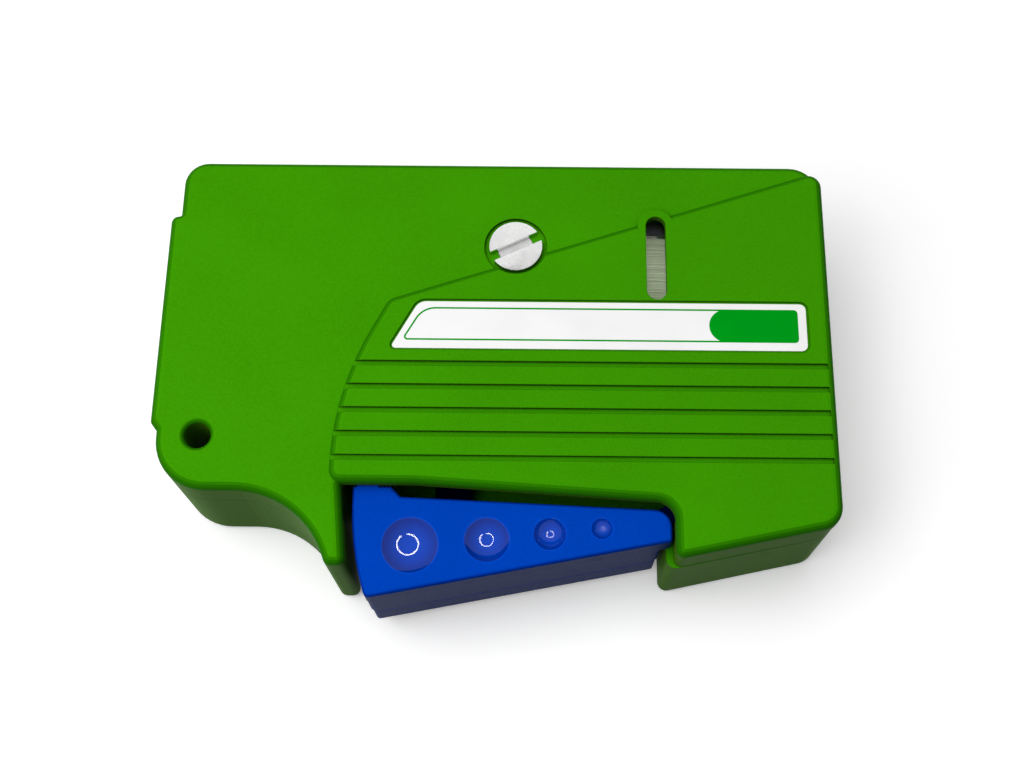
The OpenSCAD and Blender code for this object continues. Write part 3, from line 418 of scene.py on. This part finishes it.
def smooth_plastic(name, colour, roughness):
    """Plain self-coloured moulding with faint flow marks, and sharp edges painted lighter as a highlight"""
    material, tree, shader = new_material(name)
    where = place(tree)
    edge, soft = edge_share(tree, bpy.context.scene.cassette_finish.edge * 0.7)
    flow = noise(tree, stretched(tree, where, (1, 3, 1)), scale=120, detail=3)
    base = blend_colour(tree, vary(tree, flow), rgba(colour, 0.9), rgba(colour, 1.08))
    # Painted highlight: sharp edges are painted lighter than the faces
    base = blend_colour(tree, sums(tree, "MULTIPLY", edge, EDGE_LIGHT_AND_SHADE), base, rgba(colour, 1.35))
    tree.links.new(base, shader.inputs["Base Color"])
    tree.links.new(vary(tree, flow, roughness - 0.06, roughness + 0.08), shader.inputs["Roughness"])
    relief(tree, shader, noise(tree, where, scale=1500), 0.15, 0.01 * MM, soft)
    return material


def turned_metal(name, colour, at=(0, 0), roughness=0.24, marks_per_metre=9000):
    """Turned metal with tool marks round the upright axis through a point, and painted shade in its corners
    and gaps
    """
    material, tree, shader = new_material(name)
    where = place(tree)
    marks = rings(tree, sums(tree, "MULTIPLY", axis_reach(tree, where, at), marks_per_metre), 2.0)
    smudge = noise(tree, where, scale=260, detail=3)
    base = blend_colour(tree, vary(tree, marks), rgba(colour, 0.95), rgba(colour, 1.04))
    base = blend_colour(tree, spread(tree, smudge, 0.5, 0.8, 0, 0.2), base, rgba(colour, 0.85))
    # Painted shade: corners such as the screw's slot are darkened almost to black, and deep gaps further
    crease_shade, hollow_shade = shade_shares(tree, 1.6 * MM)
    base = blend_colour(tree, sums(tree, "MULTIPLY", crease_shade, 1.8), base, rgba(colour, 0.1))
    base = blend_colour(tree, hollow_shade, base, rgba(colour, 0.02))
    tree.links.new(base, shader.inputs["Base Color"])
    tree.links.new(vary(tree, smudge, roughness - 0.05, roughness + 0.12), shader.inputs["Roughness"])
    set_values(shader, Metallic=1.0)
    relief(tree, shader, marks, 0.25, 0.012 * MM)
    return material


def drawn_wire(name, colour):
    """Drawn spring steel with fine streaks"""
    material, tree, shader = new_material(name)
    streaks = noise(tree, stretched(tree, place(tree), (9, 9, 1)), scale=700, detail=3)
    base = blend_colour(tree, vary(tree, streaks), rgba(colour, 0.75), rgba(colour, 1.1))
    tree.links.new(base, shader.inputs["Base Color"])
    tree.links.new(vary(tree, streaks, 0.22, 0.4), shader.inputs["Roughness"])
    set_values(shader, Metallic=1.0)
    return material


def printed_film(name, colour, roughness=0.3):
    """Printed plastic film, slightly uneven where it was rubbed down"""
    material, tree, shader = new_material(name)
    where = place(tree)
    rub = noise(tree, where, scale=90, detail=3)
    fleck = noise(tree, where, scale=2600)
    base = blend_colour(tree, vary(tree, rub), rgba(colour, 0.965), rgba(colour, 1.03))
    base = blend_colour(tree, spread(tree, fleck, 0.62, 0.75, 0, 0.12), base, rgba(colour, 0.8))
    tree.links.new(base, shader.inputs["Base Color"])
    tree.links.new(vary(tree, rub, roughness, roughness + 0.12), shader.inputs["Roughness"])
    set_values(shader, Specular_IOR_Level=0.1, Specular_Tint=rgba(colour))
    relief(tree, shader, noise(tree, where, scale=160), 0.08, 0.05 * MM)
    return material


def clear_window(name):
    """Clear moulding with a faint haze"""
    material, tree, shader = new_material(name)
    haze = noise(tree, place(tree), scale=300, detail=3)
    tree.links.new(vary(tree, haze, 0.02, 0.09), shader.inputs["Roughness"])
    set_values(shader, Base_Color=(0.95, 0.98, 0.97, 1), Transmission_Weight=1.0, IOR=1.15)
    return material


def wound_cloth(name, colour, at):
    """End of a roll of thin cloth: turns round the axis through a point, with a fine weave"""
    material, tree, shader = new_material(name)
    where = place(tree)
    pitch = bpy.context.scene.cassette_finish.winding
    turns = rings(tree, sums(tree, "DIVIDE", axis_reach(tree, where, at), pitch), 2.5)
    weave = noise(tree, where, scale=5200, detail=1)
    dirt = noise(tree, where, scale=150, detail=3)
    base = blend_colour(tree, spread(tree, turns, 0.34, 0.66), rgba(colour, 0.72), rgba(colour, 1.15))
    base = blend_colour(tree, spread(tree, weave, 0.4, 0.7, 0, 0.35), base, rgba(colour, 1.25))
    base = blend_colour(tree, spread(tree, dirt, 0.5, 0.8, 0, 0.2), base, rgba(colour, 0.7))
    tree.links.new(base, shader.inputs["Base Color"])
    set_values(shader, Roughness=0.9, Specular_IOR_Level=0.08)
    relief(tree, shader, sums(tree, "ADD", turns, weave), 0.5, 0.05 * MM)
    return material


def threads(tree, where, scale, direction):
    """Ridges of the threads that run one way through a weave"""
    return node(tree, "ShaderNodeTexWave", {"Vector": where, "Scale": scale, "Distortion": 0.6,
                                            "Detail": 1.0}, bands_direction=direction).outputs["Fac"]


def woven_tape(name, colour):
    """Fine plain weave of the cleaning tape"""
    material, tree, shader = new_material(name)
    where = place(tree)
    weave = sums(tree, "MULTIPLY", threads(tree, where, 900.0, "Z"),
                 threads(tree, where, 700.0, "DIAGONAL"))
    fuzz = noise(tree, where, scale=900, detail=3)
    base = blend_colour(tree, weave, rgba(colour, 0.85), rgba(colour, 1.15))
    base = blend_colour(tree, spread(tree, fuzz, 0.5, 0.75, 0, 0.25), base, rgba(colour, 1.3))
    tree.links.new(base, shader.inputs["Base Color"])
    set_values(shader, Roughness=0.9, Sheen_Weight=0.3)
    relief(tree, shader, weave, 0.6, 0.04 * MM)
    return material


def cell_foam(name, colour):
    """Closed foam of the backing pad"""
    material, tree, shader = new_material(name)
    cells = node(tree, "ShaderNodeTexVoronoi", {"Vector": place(tree), "Scale": 3200.0}).outputs["Distance"]
    base = blend_colour(tree, spread(tree, cells, 0.1, 0.6), rgba(colour, 0.6), rgba(colour, 1.3))
    tree.links.new(base, shader.inputs["Base Color"])
    set_values(shader, Roughness=0.92)
    relief(tree, shader, cells, 0.7, 0.08 * MM)
    return material


def dress(material, slot, *names):
    """Gives solids of the frame their material"""
    for name in names:
        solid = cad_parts[name]
        solid.data.materials.clear()
        solid.data.materials.append(material)


# Mesh helpers


def new_object(name, data):
    """Object in the scene"""
    made = bpy.data.objects.new(name, data)
    bpy.context.scene.collection.objects.link(made)
    return made


def add_piece(name, mesh, material, body, smooth=False):
    """Object of a mesh, dressed and riding on its body"""
    piece = new_object(name, mesh)
    mesh.materials.append(material)
    if smooth:
        mesh.shade_smooth()
    else:
        mesh.shade_flat()
    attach(piece, body)
    return piece


def centre_of(solid):
    """Middle of the box round a solid"""
    low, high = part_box(solid)
    return (low + high) / 2


def close_mesh(name, shape):
    """Mesh of a finished shape, with its normals facing out"""
    mesh = bpy.data.meshes.new(name)
    bmesh.ops.recalc_face_normals(shape, faces=shape.faces)
    shape.to_mesh(mesh)
    shape.free()
    return mesh


def mesh_of(name, points, faces):
    """Mesh of points and faces"""
    shape = bmesh.new()
    made = [shape.verts.new(p) for p in points]
    for face in faces:
        shape.faces.new([made[i] for i in face])
    return close_mesh(name, shape)


def round_off(corners, inset=0.0, steps=10):
    """Points of a flat outline with rounded corners, moved inwards, from its (x, y, radius) corners
    in millimetres"""
    count = len(corners)
    flat = [Vector(c[:2]) for c in corners]
    moved = []
    for i in range(count):
        along = (flat[i] - flat[i - 1]).normalized()
        onward = (flat[(i + 1) % count] - flat[i]).normalized()
        side_a, side_b = Vector((-along.y, along.x)), Vector((-onward.y, onward.x))
        moved.append(flat[i] + (side_a + side_b) * inset / (1 + side_a.dot(side_b)))
    points = []
    for i in range(count):
        here = moved[i]
        back, onward = (moved[i - 1] - here).normalized(), (moved[(i + 1) % count] - here).normalized()
        half = math.acos(max(-1, min(1, back.dot(onward)))) / 2
        radius = max(corners[i][2] - inset, LEAST_CORNER)
        centre = here + (back + onward).normalized() * radius / math.sin(half)
        start = here + back * radius / math.tan(half) - centre
        sweep = math.pi - 2 * half
        for k in range(steps + 1):
            turn = Matrix.Rotation(sweep * k / steps, 2)
            points.append(centre + turn @ start)
    return points


def film_mesh(name, outer, inner, z0, z1):
    """Thin flat piece between an outer outline and an optional inner one, in millimetres"""
    loops = [outer] + ([inner] if inner else [])
    points, faces = [], []
    for loop in loops:
        for z in (z0, z1):
            points += [(p.x * MM, p.y * MM, z * MM) for p in loop]
    n = len(outer)
    for i in range(n):
        j = (i + 1) % n
        faces.append((i, j, n + j, n + i))
        if inner:
            faces.append((2 * n + i, 3 * n + i, 3 * n + j, 2 * n + j))
            faces.append((i, 2 * n + i, 2 * n + j, j))
            faces.append((n + i, n + j, 3 * n + j, 3 * n + i))
    if not inner:
        faces += [tuple(range(n)), tuple(range(n, 2 * n))]
    return mesh_of(name, points, faces)


def winding_mesh(name, solid, pitch):
    """Roll of tape in the place of a ring-shaped solid, with each turn's edge standing out a little"""
    low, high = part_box(solid)
    middle = (low + high) / 2
    reach = [(v.co.xy - middle.xy).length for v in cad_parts[solid].data.vertices]
    inner, outer = min(reach), max(reach)
    turns = int((outer - inner) / pitch)
    step = (outer - inner) / turns
    deepest, valley, rim, around = 0.09 * MM, 0.12, 0.12 * MM, 120
    chance = random.Random(solid)
    ridges = []
    for i in range(turns):
        near, far = inner + i * step, inner + (i + 1) * step
        depth = chance.uniform(0.2, 1.0) * deepest
        ridges += [(near + step * valley, depth), ((near + far) / 2, 0), (far - step * valley, depth)]
    profile = [(r, high.z - depth) for r, depth in ridges]
    profile += [(outer, high.z - rim), (outer, low.z + rim)]
    profile += [(r, low.z + depth) for r, depth in reversed(ridges)]
    profile += [(inner, low.z + rim), (inner, high.z - rim)]
    points, faces = [], []
    n = len(profile)
    for i in range(around):
        a = math.tau * i / around
        points += [(middle.x + r * math.cos(a), middle.y + r * math.sin(a), z) for r, z in profile]
        j = (i + 1) % around
        faces += [(i * n + k, i * n + (k + 1) % n, j * n + (k + 1) % n, j * n + k) for k in range(n)]
    return mesh_of(name, points, faces)


def middle_line(solid):
    """Points along the middle of a thin upright band, from one end to the other"""
    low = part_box(solid)[0].z
    same_point, same_level = 0.001 * MM, 0.01 * MM
    shape = bmesh.new()
    shape.from_mesh(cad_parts[solid].data)
    bmesh.ops.remove_doubles(shape, verts=shape.verts, dist=same_point)
    foot = {f for f in shape.faces if all(abs(v.co.z - low) < same_level for v in f.verts)}
    rim = [e for e in shape.edges if sum(f in foot for f in e.link_faces) == 1]
    beside = {}
    for edge in rim:
        a, b = edge.verts
        beside.setdefault(a, []).append(b)
        beside.setdefault(b, []).append(a)
    loop = [rim[0].verts[0]]
    while len(loop) < len(rim):
        loop.append(next(v for v in beside[loop[-1]] if v not in loop[-2:]))
    loop = [v.co.xy.copy() for v in loop]
    shape.free()
    count, half = len(loop), len(loop) // 2
    ends = [(loop[i] - loop[i - 1]).length + (loop[(i + half) % count] - loop[i - 1 + half]).length
            for i in range(half)]
    start = ends.index(min(ends))
    loop = loop[start:] + loop[:start]
    return [(loop[i] + loop[count - 1 - i]) / 2 for i in range(half)]


def ribbon_mesh(name, path, z0, z1):
    """Tape along a path, with fine steps, a slightly wavy edge and a real thickness"""
    longest, half_thick, rows, waviness = 1.5 * MM, 0.06 * MM, 6, 0.05 * MM
    fine = [path[0]]
    for a, b in zip(path, path[1:]):
        parts = max(1, math.ceil((b - a).length / longest))
        fine += [a.lerp(b, (k + 1) / parts) for k in range(parts)]
    chance = random.Random(name)
    points, faces = [], []
    for i, here in enumerate(fine):
        along = (fine[min(i + 1, len(fine) - 1)] - fine[max(i - 1, 0)]).normalized()
        side = Vector((-along.y, along.x))
        foot, top = z0 + chance.uniform(0, waviness), z1 - chance.uniform(0, waviness)
        for sign in (1, -1):
            spot = here + side * sign * half_thick
            points += [(spot.x, spot.y, foot + (top - foot) * k / rows) for k in range(rows + 1)]
    n = 2 * (rows + 1)
    ring = list(range(rows + 1)) + list(reversed(range(rows + 1, n)))
    for i in range(len(fine) - 1):
        for a, b in zip(ring, ring[1:] + ring[:1]):
            faces.append((i * n + a, i * n + b, (i + 1) * n + b, (i + 1) * n + a))
    faces += [tuple(ring), tuple((len(fine) - 1) * n + k for k in ring)]
    return mesh_of(name, points, faces)


def pad_mesh(name, solid):
    """Foam pad in the place of a solid, with soft corners and a slightly crowned face"""
    low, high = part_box(solid)
    size = high - low
    corner, crown = 0.9 * MM, 0.12 * MM
    shape = bmesh.new()
    bmesh.ops.create_cube(shape, size=1.0)
    bmesh.ops.subdivide_edges(shape, edges=shape.edges, cuts=11, use_grid_fill=True)
    for vertex in shape.verts:
        share = vertex.co.copy()
        spot = share * size
        inner = Vector([max(corner - s / 2, min(s / 2 - corner, c)) for c, s in zip(spot, size)])
        away = spot - inner
        if away.length > corner * 0.999:
            spot = inner + away.normalized() * corner
        if share.x < 0:
            spot.x += crown * (1 - (1 - (2 * share.y) ** 2) * (1 - (2 * share.z) ** 2))
        vertex.co = spot + (low + high) / 2
    return close_mesh(name, shape)


# Operators


class CASSETTE_OT_stage(bpy.types.Operator):
    """Sets the camera, the pale floor, the lamps and the room"""

    bl_idname = "cassette.stage"
    bl_label = "Set the stage"

    def execute(self, context):
        stage = context.scene.cassette_stage
        set_camera(context, stage)
        set_floor()
        set_lamp("key", KEY_AT, KEY_WIDE, KEY_TURN, stage.key_power)
        to_origin = (-Vector(NEAR_AT)).to_track_quat("-Z", "Y").to_euler()
        set_lamp("near", NEAR_AT, NEAR_WIDE, to_origin, stage.near_power)
        set_ring(stage)
        set_room(context, stage)
        context.scene.view_settings.view_transform = "Standard"
        return {"FINISHED"}


def set_camera(context, stage):
    """Camera at the viewing angle, with its roll and its small shift"""
    data = bpy.data.cameras.new("camera")
    camera = new_object("camera", data)
    ahead = Vector((0, math.sin(stage.tilt), -math.cos(stage.tilt)))
    level_up = Vector((0, math.cos(stage.tilt), math.sin(stage.tilt)))
    side = Vector((1, 0, 0)) * math.cos(stage.roll) + level_up * math.sin(stage.roll)
    up = level_up * math.cos(stage.roll) - Vector((1, 0, 0)) * math.sin(stage.roll)
    turn = Matrix((side, up, -ahead)).transposed()
    camera.matrix_world = Matrix.Translation(stage.eye) @ turn.to_4x4()
    data.sensor_width = 36
    data.lens = stage.lens
    data.shift_x, data.shift_y = stage.shift
    data.clip_start, data.clip_end = 0.01, 20
    context.scene.camera = camera


def seen_share(tree):
    """1 for what the camera sees, straight, in a mirror or through glass"""
    path = node(tree, "ShaderNodeLightPath").outputs
    seen = sums(tree, "MAXIMUM", path["Is Camera Ray"], path["Is Glossy Ray"])
    return sums(tree, "MAXIMUM", seen, path["Is Transmission Ray"])


def set_floor():
    """Plain pale floor that keeps the object's shadow. It hardly lights the object"""
    half, z, pale, dark, glow = 3.0, -0.02 * MM, 0.97, 0.06, 0.22
    mesh = mesh_of("floor", [(-half, -half, z), (half, -half, z), (half, half, z), (-half, half, z)],
                   [(0, 1, 2, 3)])
    floor = new_object("floor", mesh)
    material, tree, shader = new_material("floor_paper")
    colour = blend_colour(tree, seen_share(tree), rgba((dark,) * 3), rgba((pale,) * 3))
    tree.links.new(colour, shader.inputs["Base Color"])
    tree.links.new(sums(tree, "MULTIPLY", seen_share(tree), glow), shader.inputs["Emission Strength"])
    set_values(shader, Roughness=0.95, Specular_IOR_Level=0.0, Emission_Color=(1, 1, 1, 1))
    mesh.materials.append(material)


def set_lamp(name, at, wide, turn, power):
    """Round soft lamp that no gloss mirrors"""
    data = bpy.data.lights.new(name, "AREA")
    data.shape, data.size, data.energy = "DISK", wide, power
    lamp = new_object(name, data)
    lamp.location, lamp.rotation_euler = at, turn
    lamp.visible_glossy = False


def ring_mesh(radius):
    """Tube bent round into most of a ring"""
    around, sides = 72, 8
    points, faces = [], []
    for i in range(around + 1):
        a = math.radians(RING_START + RING_SWEEP * i / around)
        for j in range(sides):
            b = math.tau * j / sides
            reach = radius + RING_TUBE * math.cos(b)
            points.append((reach * math.cos(a), reach * math.sin(a), RING_TUBE * math.sin(b)))
    for i in range(0, around * sides, sides):
        for j in range(sides):
            a, b = i + j, i + (j + 1) % sides
            faces.append((a, a + sides, b + sides, b))
    return mesh_of("ring_lamp", points, faces)


def set_ring(stage):
    """Ring lamp level with the camera, that only the dimples in the lever mirror"""
    ring = new_object("ring_lamp", ring_mesh(stage.ring_radius))
    ring.location = (stage.eye[0] + RING_ASIDE, RING_Y, stage.eye[2])
    material = bpy.data.materials.new("ring_glow")
    material.use_nodes = True
    tree = material.node_tree
    tree.nodes.clear()
    glow = node(tree, "ShaderNodeEmission", {"Strength": stage.ring_strength})
    node(tree, "ShaderNodeOutputMaterial", {"Surface": glow.outputs[0]})
    ring.data.materials.append(material)
    ring.visible_camera = ring.visible_diffuse = ring.visible_shadow = False
    mirrored_in = bpy.data.collections.new("ring_mirrored_in")
    mirrored_in.objects.link(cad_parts["lever_front"])
    ring.light_linking.receiver_collection = mirrored_in


def set_room(context, stage):
    """White background to the eye, and a dimmer room round the object"""
    world = bpy.data.worlds.new("room")
    context.scene.world = world
    world.use_nodes = True
    tree = world.node_tree
    tree.nodes.clear()
    shade = sums(tree, "MAXIMUM", seen_share(tree), stage.surround)
    sky = node(tree, "ShaderNodeBackground", {"Color": (1, 1, 1, 1), "Strength": shade})
    node(tree, "ShaderNodeOutputWorld", {"Surface": sky.outputs[0]})


class CASSETTE_OT_housing(bpy.types.Operator):
    """Dresses both housing shells in grained green plastic, and clears the sight window"""

    bl_idname = "cassette.housing"
    bl_label = "Dress the housing"

    def execute(self, context):
        colours = context.scene.cassette_colours
        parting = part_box("screw_insert")[1].z
        green = (colours.housing, colours.housing_rim_shade_and_seam, colours.housing_wall_shade, colours.housing_rim_shade_and_seam)
        shell = moulded("grained_green", green, seam_at=parting, shade_reach=4.5 * MM,
                        seam_width=context.scene.cassette_finish.seam)
        dress(shell, "housing_green", "back_shell", "front_cover")
        dress(clear_window("clear_moulding"), "window_clear", "sight_window")
        return {"FINISHED"}


class CASSETTE_OT_lever(bpy.types.Operator):
    """Dresses the squeeze lever in grained blue plastic"""

    bl_idname = "cassette.lever"
    bl_label = "Dress the lever"

    def execute(self, context):
        colours = context.scene.cassette_colours
        blues = (colours.lever, colours.lever_rim_shade, colours.lever_wall_shade, colours.lever)
        blue = moulded("grained_blue", blues, seam_at=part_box("lever_back")[1].z - LEVER_LINE_DROP,
                       seam_width=context.scene.cassette_finish.lever_seam, shade_reach=12 * MM,
                       roughness=0.45, bowls=BOWLS)
        dress(blue, "lever_blue", "lever_front", "lever_back")
        return {"FINISHED"}


class CASSETTE_OT_label(bpy.types.Operator):
    """Prints the label's green frame line and its field, and leaves the rest bare"""

    bl_idname = "cassette.label"
    bl_label = "Print the label"

    line: bpy.props.FloatProperty(name="Line", description="Width of the frame line in millimetres",
                                  min=0.1, max=1, default=0.34)

    def execute(self, context):
        colours = context.scene.cassette_colours
        dress(printed_film("label_film", colours.film), "label_white", "label_plate")
        ink = printed_film("label_ink", colours.ink, 0.26)
        low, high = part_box("label_plate")
        # In millimetres: bare film round the print, slant of its left end, radii of its corners, width
        # of its field, and what the radius of the field's round end lacks of half its height
        bare_right, bare_top, bare_left, bare_foot = 1.6, 1.2, 1.7, 1.65
        slant, corner, small_corner, big_corner, wide, lack = 3.9, 0.8, 0.7, 4.4, 17.2, 0.05
        right, upper = high.x / MM - bare_right, high.y / MM - bare_top
        left, lower = low.x / MM + bare_left, low.y / MM + bare_foot
        frame_line = [(right, upper, corner), (left + slant, upper, big_corner),
                      (left, lower, small_corner), (right, lower, corner)]
        end = (upper - lower) / 2 - lack
        field = [(right, upper, corner), (right - wide, upper, end), (right - wide, lower, end),
                 (right, lower, corner)]
        # The ink stands just proud of the film, and the field just proud of the line
        top, sunk, proud, over, inset = high.z / MM, 0.01, 0.02, 0.002, 0.02
        add_piece("label_frame_line", film_mesh("label_frame_line", round_off(frame_line),
                                                round_off(frame_line, self.line), top - sunk, top + proud),
                  ink, "cover")
        add_piece("label_field", film_mesh("label_field", round_off(field, inset), None, top - sunk,
                                           top + proud + over), ink, "cover")
        return {"FINISHED"}


class CASSETTE_OT_metal(bpy.types.Operator):
    """Dresses the coin screw, its insert, the pins and the springs"""

    bl_idname = "cassette.metal"
    bl_label = "Dress the metal parts"

    def execute(self, context):
        colours = context.scene.cassette_colours
        axis = centre_of("cover_screw")
        dress(turned_metal("turned_steel", colours.steel, axis, 0.2), "bright_steel", "cover_screw")
        dress(turned_metal("turned_brass", colours.brass, axis), "insert_brass", "screw_insert")
        dress(turned_metal("ground_pins", colours.pins, roughness=0.3, marks_per_metre=2500),
              "bright_steel", "roller_pins", "lever_pin", "pawl_pin")
        dress(drawn_wire("spring_wire", colours.wire), "spring_steel", "lever_spring", "pawl_spring",
              "supply_brake")
        return {"FINISHED"}


class CASSETTE_OT_mechanism(bpy.types.Operator):
    """Dresses the moulded parts of the mechanism"""

    bl_idname = "cassette.mechanism"
    bl_label = "Dress the mechanism"

    def execute(self, context):
        colours = context.scene.cassette_colours
        dark = smooth_plastic("mechanism_plastic", colours.mechanism, 0.38)
        dress(dark, "mechanism_grey", "window_plate", "shutter", "pad_holder", "supply_reel",
              "take_up_reel", "screw_clip")
        white = smooth_plastic("acetal", colours.acetal, 0.3)
        dress(white, "ratchet_white", "ratchet_wheel", "holding_pawl", "drive_pawl", "upper_roller",
              "lower_roller")
        return {"FINISHED"}


class CASSETTE_OT_tape(bpy.types.Operator):
    """Winds both rolls and runs the tape past the windows"""

    bl_idname = "cassette.tape"
    bl_label = "Wind the tape"

    def execute(self, context):
        colours = context.scene.cassette_colours
        for reel in ("supply", "take_up"):
            solid = reel + "_roll"
            cloth = wound_cloth(reel + "_winding_cloth", colours.cloth, centre_of(solid))
            mesh = winding_mesh(reel + "_winding", solid, context.scene.cassette_finish.winding)
            piece = add_piece(reel + "_winding", mesh, cloth, reel)
            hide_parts(solid)
        path = middle_line("tape_web")
        low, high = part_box("tape_web")
        ribbon = add_piece("tape_ribbon", ribbon_mesh("tape_ribbon", path, low.z, high.z),
                           woven_tape("woven_cloth", colours.cloth), "root", smooth=True)
        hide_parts("tape_web")
        return {"FINISHED"}


class CASSETTE_OT_pad(bpy.types.Operator):
    """Puts the soft backing pad behind the tape"""

    bl_idname = "cassette.pad"
    bl_label = "Put in the pad"

    def execute(self, context):
        foam = cell_foam("pad_foam", context.scene.cassette_colours.foam)
        pad = add_piece("wiping_pad", pad_mesh("wiping_pad", "cleaning_pad"), foam, "root",
                        smooth=True)
        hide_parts("cleaning_pad")
        return {"FINISHED"}


class CASSETTE_PT_panel(bpy.types.Panel):
    """Buttons for each group of pieces, and the values that they read"""

    bl_idname = "CASSETTE_PT_panel"
    bl_label = "Cleaning cassette"
    bl_space_type = "VIEW_3D"
    bl_region_type = "UI"
    bl_category = "Cassette"

    def draw(self, context):
        scene = context.scene
        for step in STEPS:
            self.layout.operator(f"cassette.{step}")
        for group in (scene.cassette_colours, scene.cassette_finish, scene.cassette_stage):
            box = self.layout.box()
            for name in group.__annotations__:
                box.prop(group, name)


STEPS = ("stage", "housing", "lever", "label", "metal", "mechanism", "pad", "tape")
GROUPS = {"cassette_colours": CassetteColours, "cassette_finish": CassetteFinish,
          "cassette_stage": CassetteStage}
CLASSES = (CassetteColours, CassetteFinish, CassetteStage, CASSETTE_OT_stage, CASSETTE_OT_housing,
           CASSETTE_OT_lever, CASSETTE_OT_label, CASSETTE_OT_metal, CASSETTE_OT_mechanism,
           CASSETTE_OT_pad, CASSETTE_OT_tape, CASSETTE_PT_panel)


def register():
    """Makes the classes and their properties known"""
    for kind in CLASSES:
        bpy.utils.register_class(kind)
    for name, group in GROUPS.items():
        setattr(bpy.types.Scene, name, bpy.props.PointerProperty(type=group))


def unregister():
    """Takes them away again"""
    for name in GROUPS:
        delattr(bpy.types.Scene, name)
    for kind in reversed(CLASSES):
        bpy.utils.unregister_class(kind)


def main():
    """Runs each step"""
    register()
    for step in STEPS:
        getattr(bpy.ops.cassette, step)()


if __name__ == "__main__":
    main()
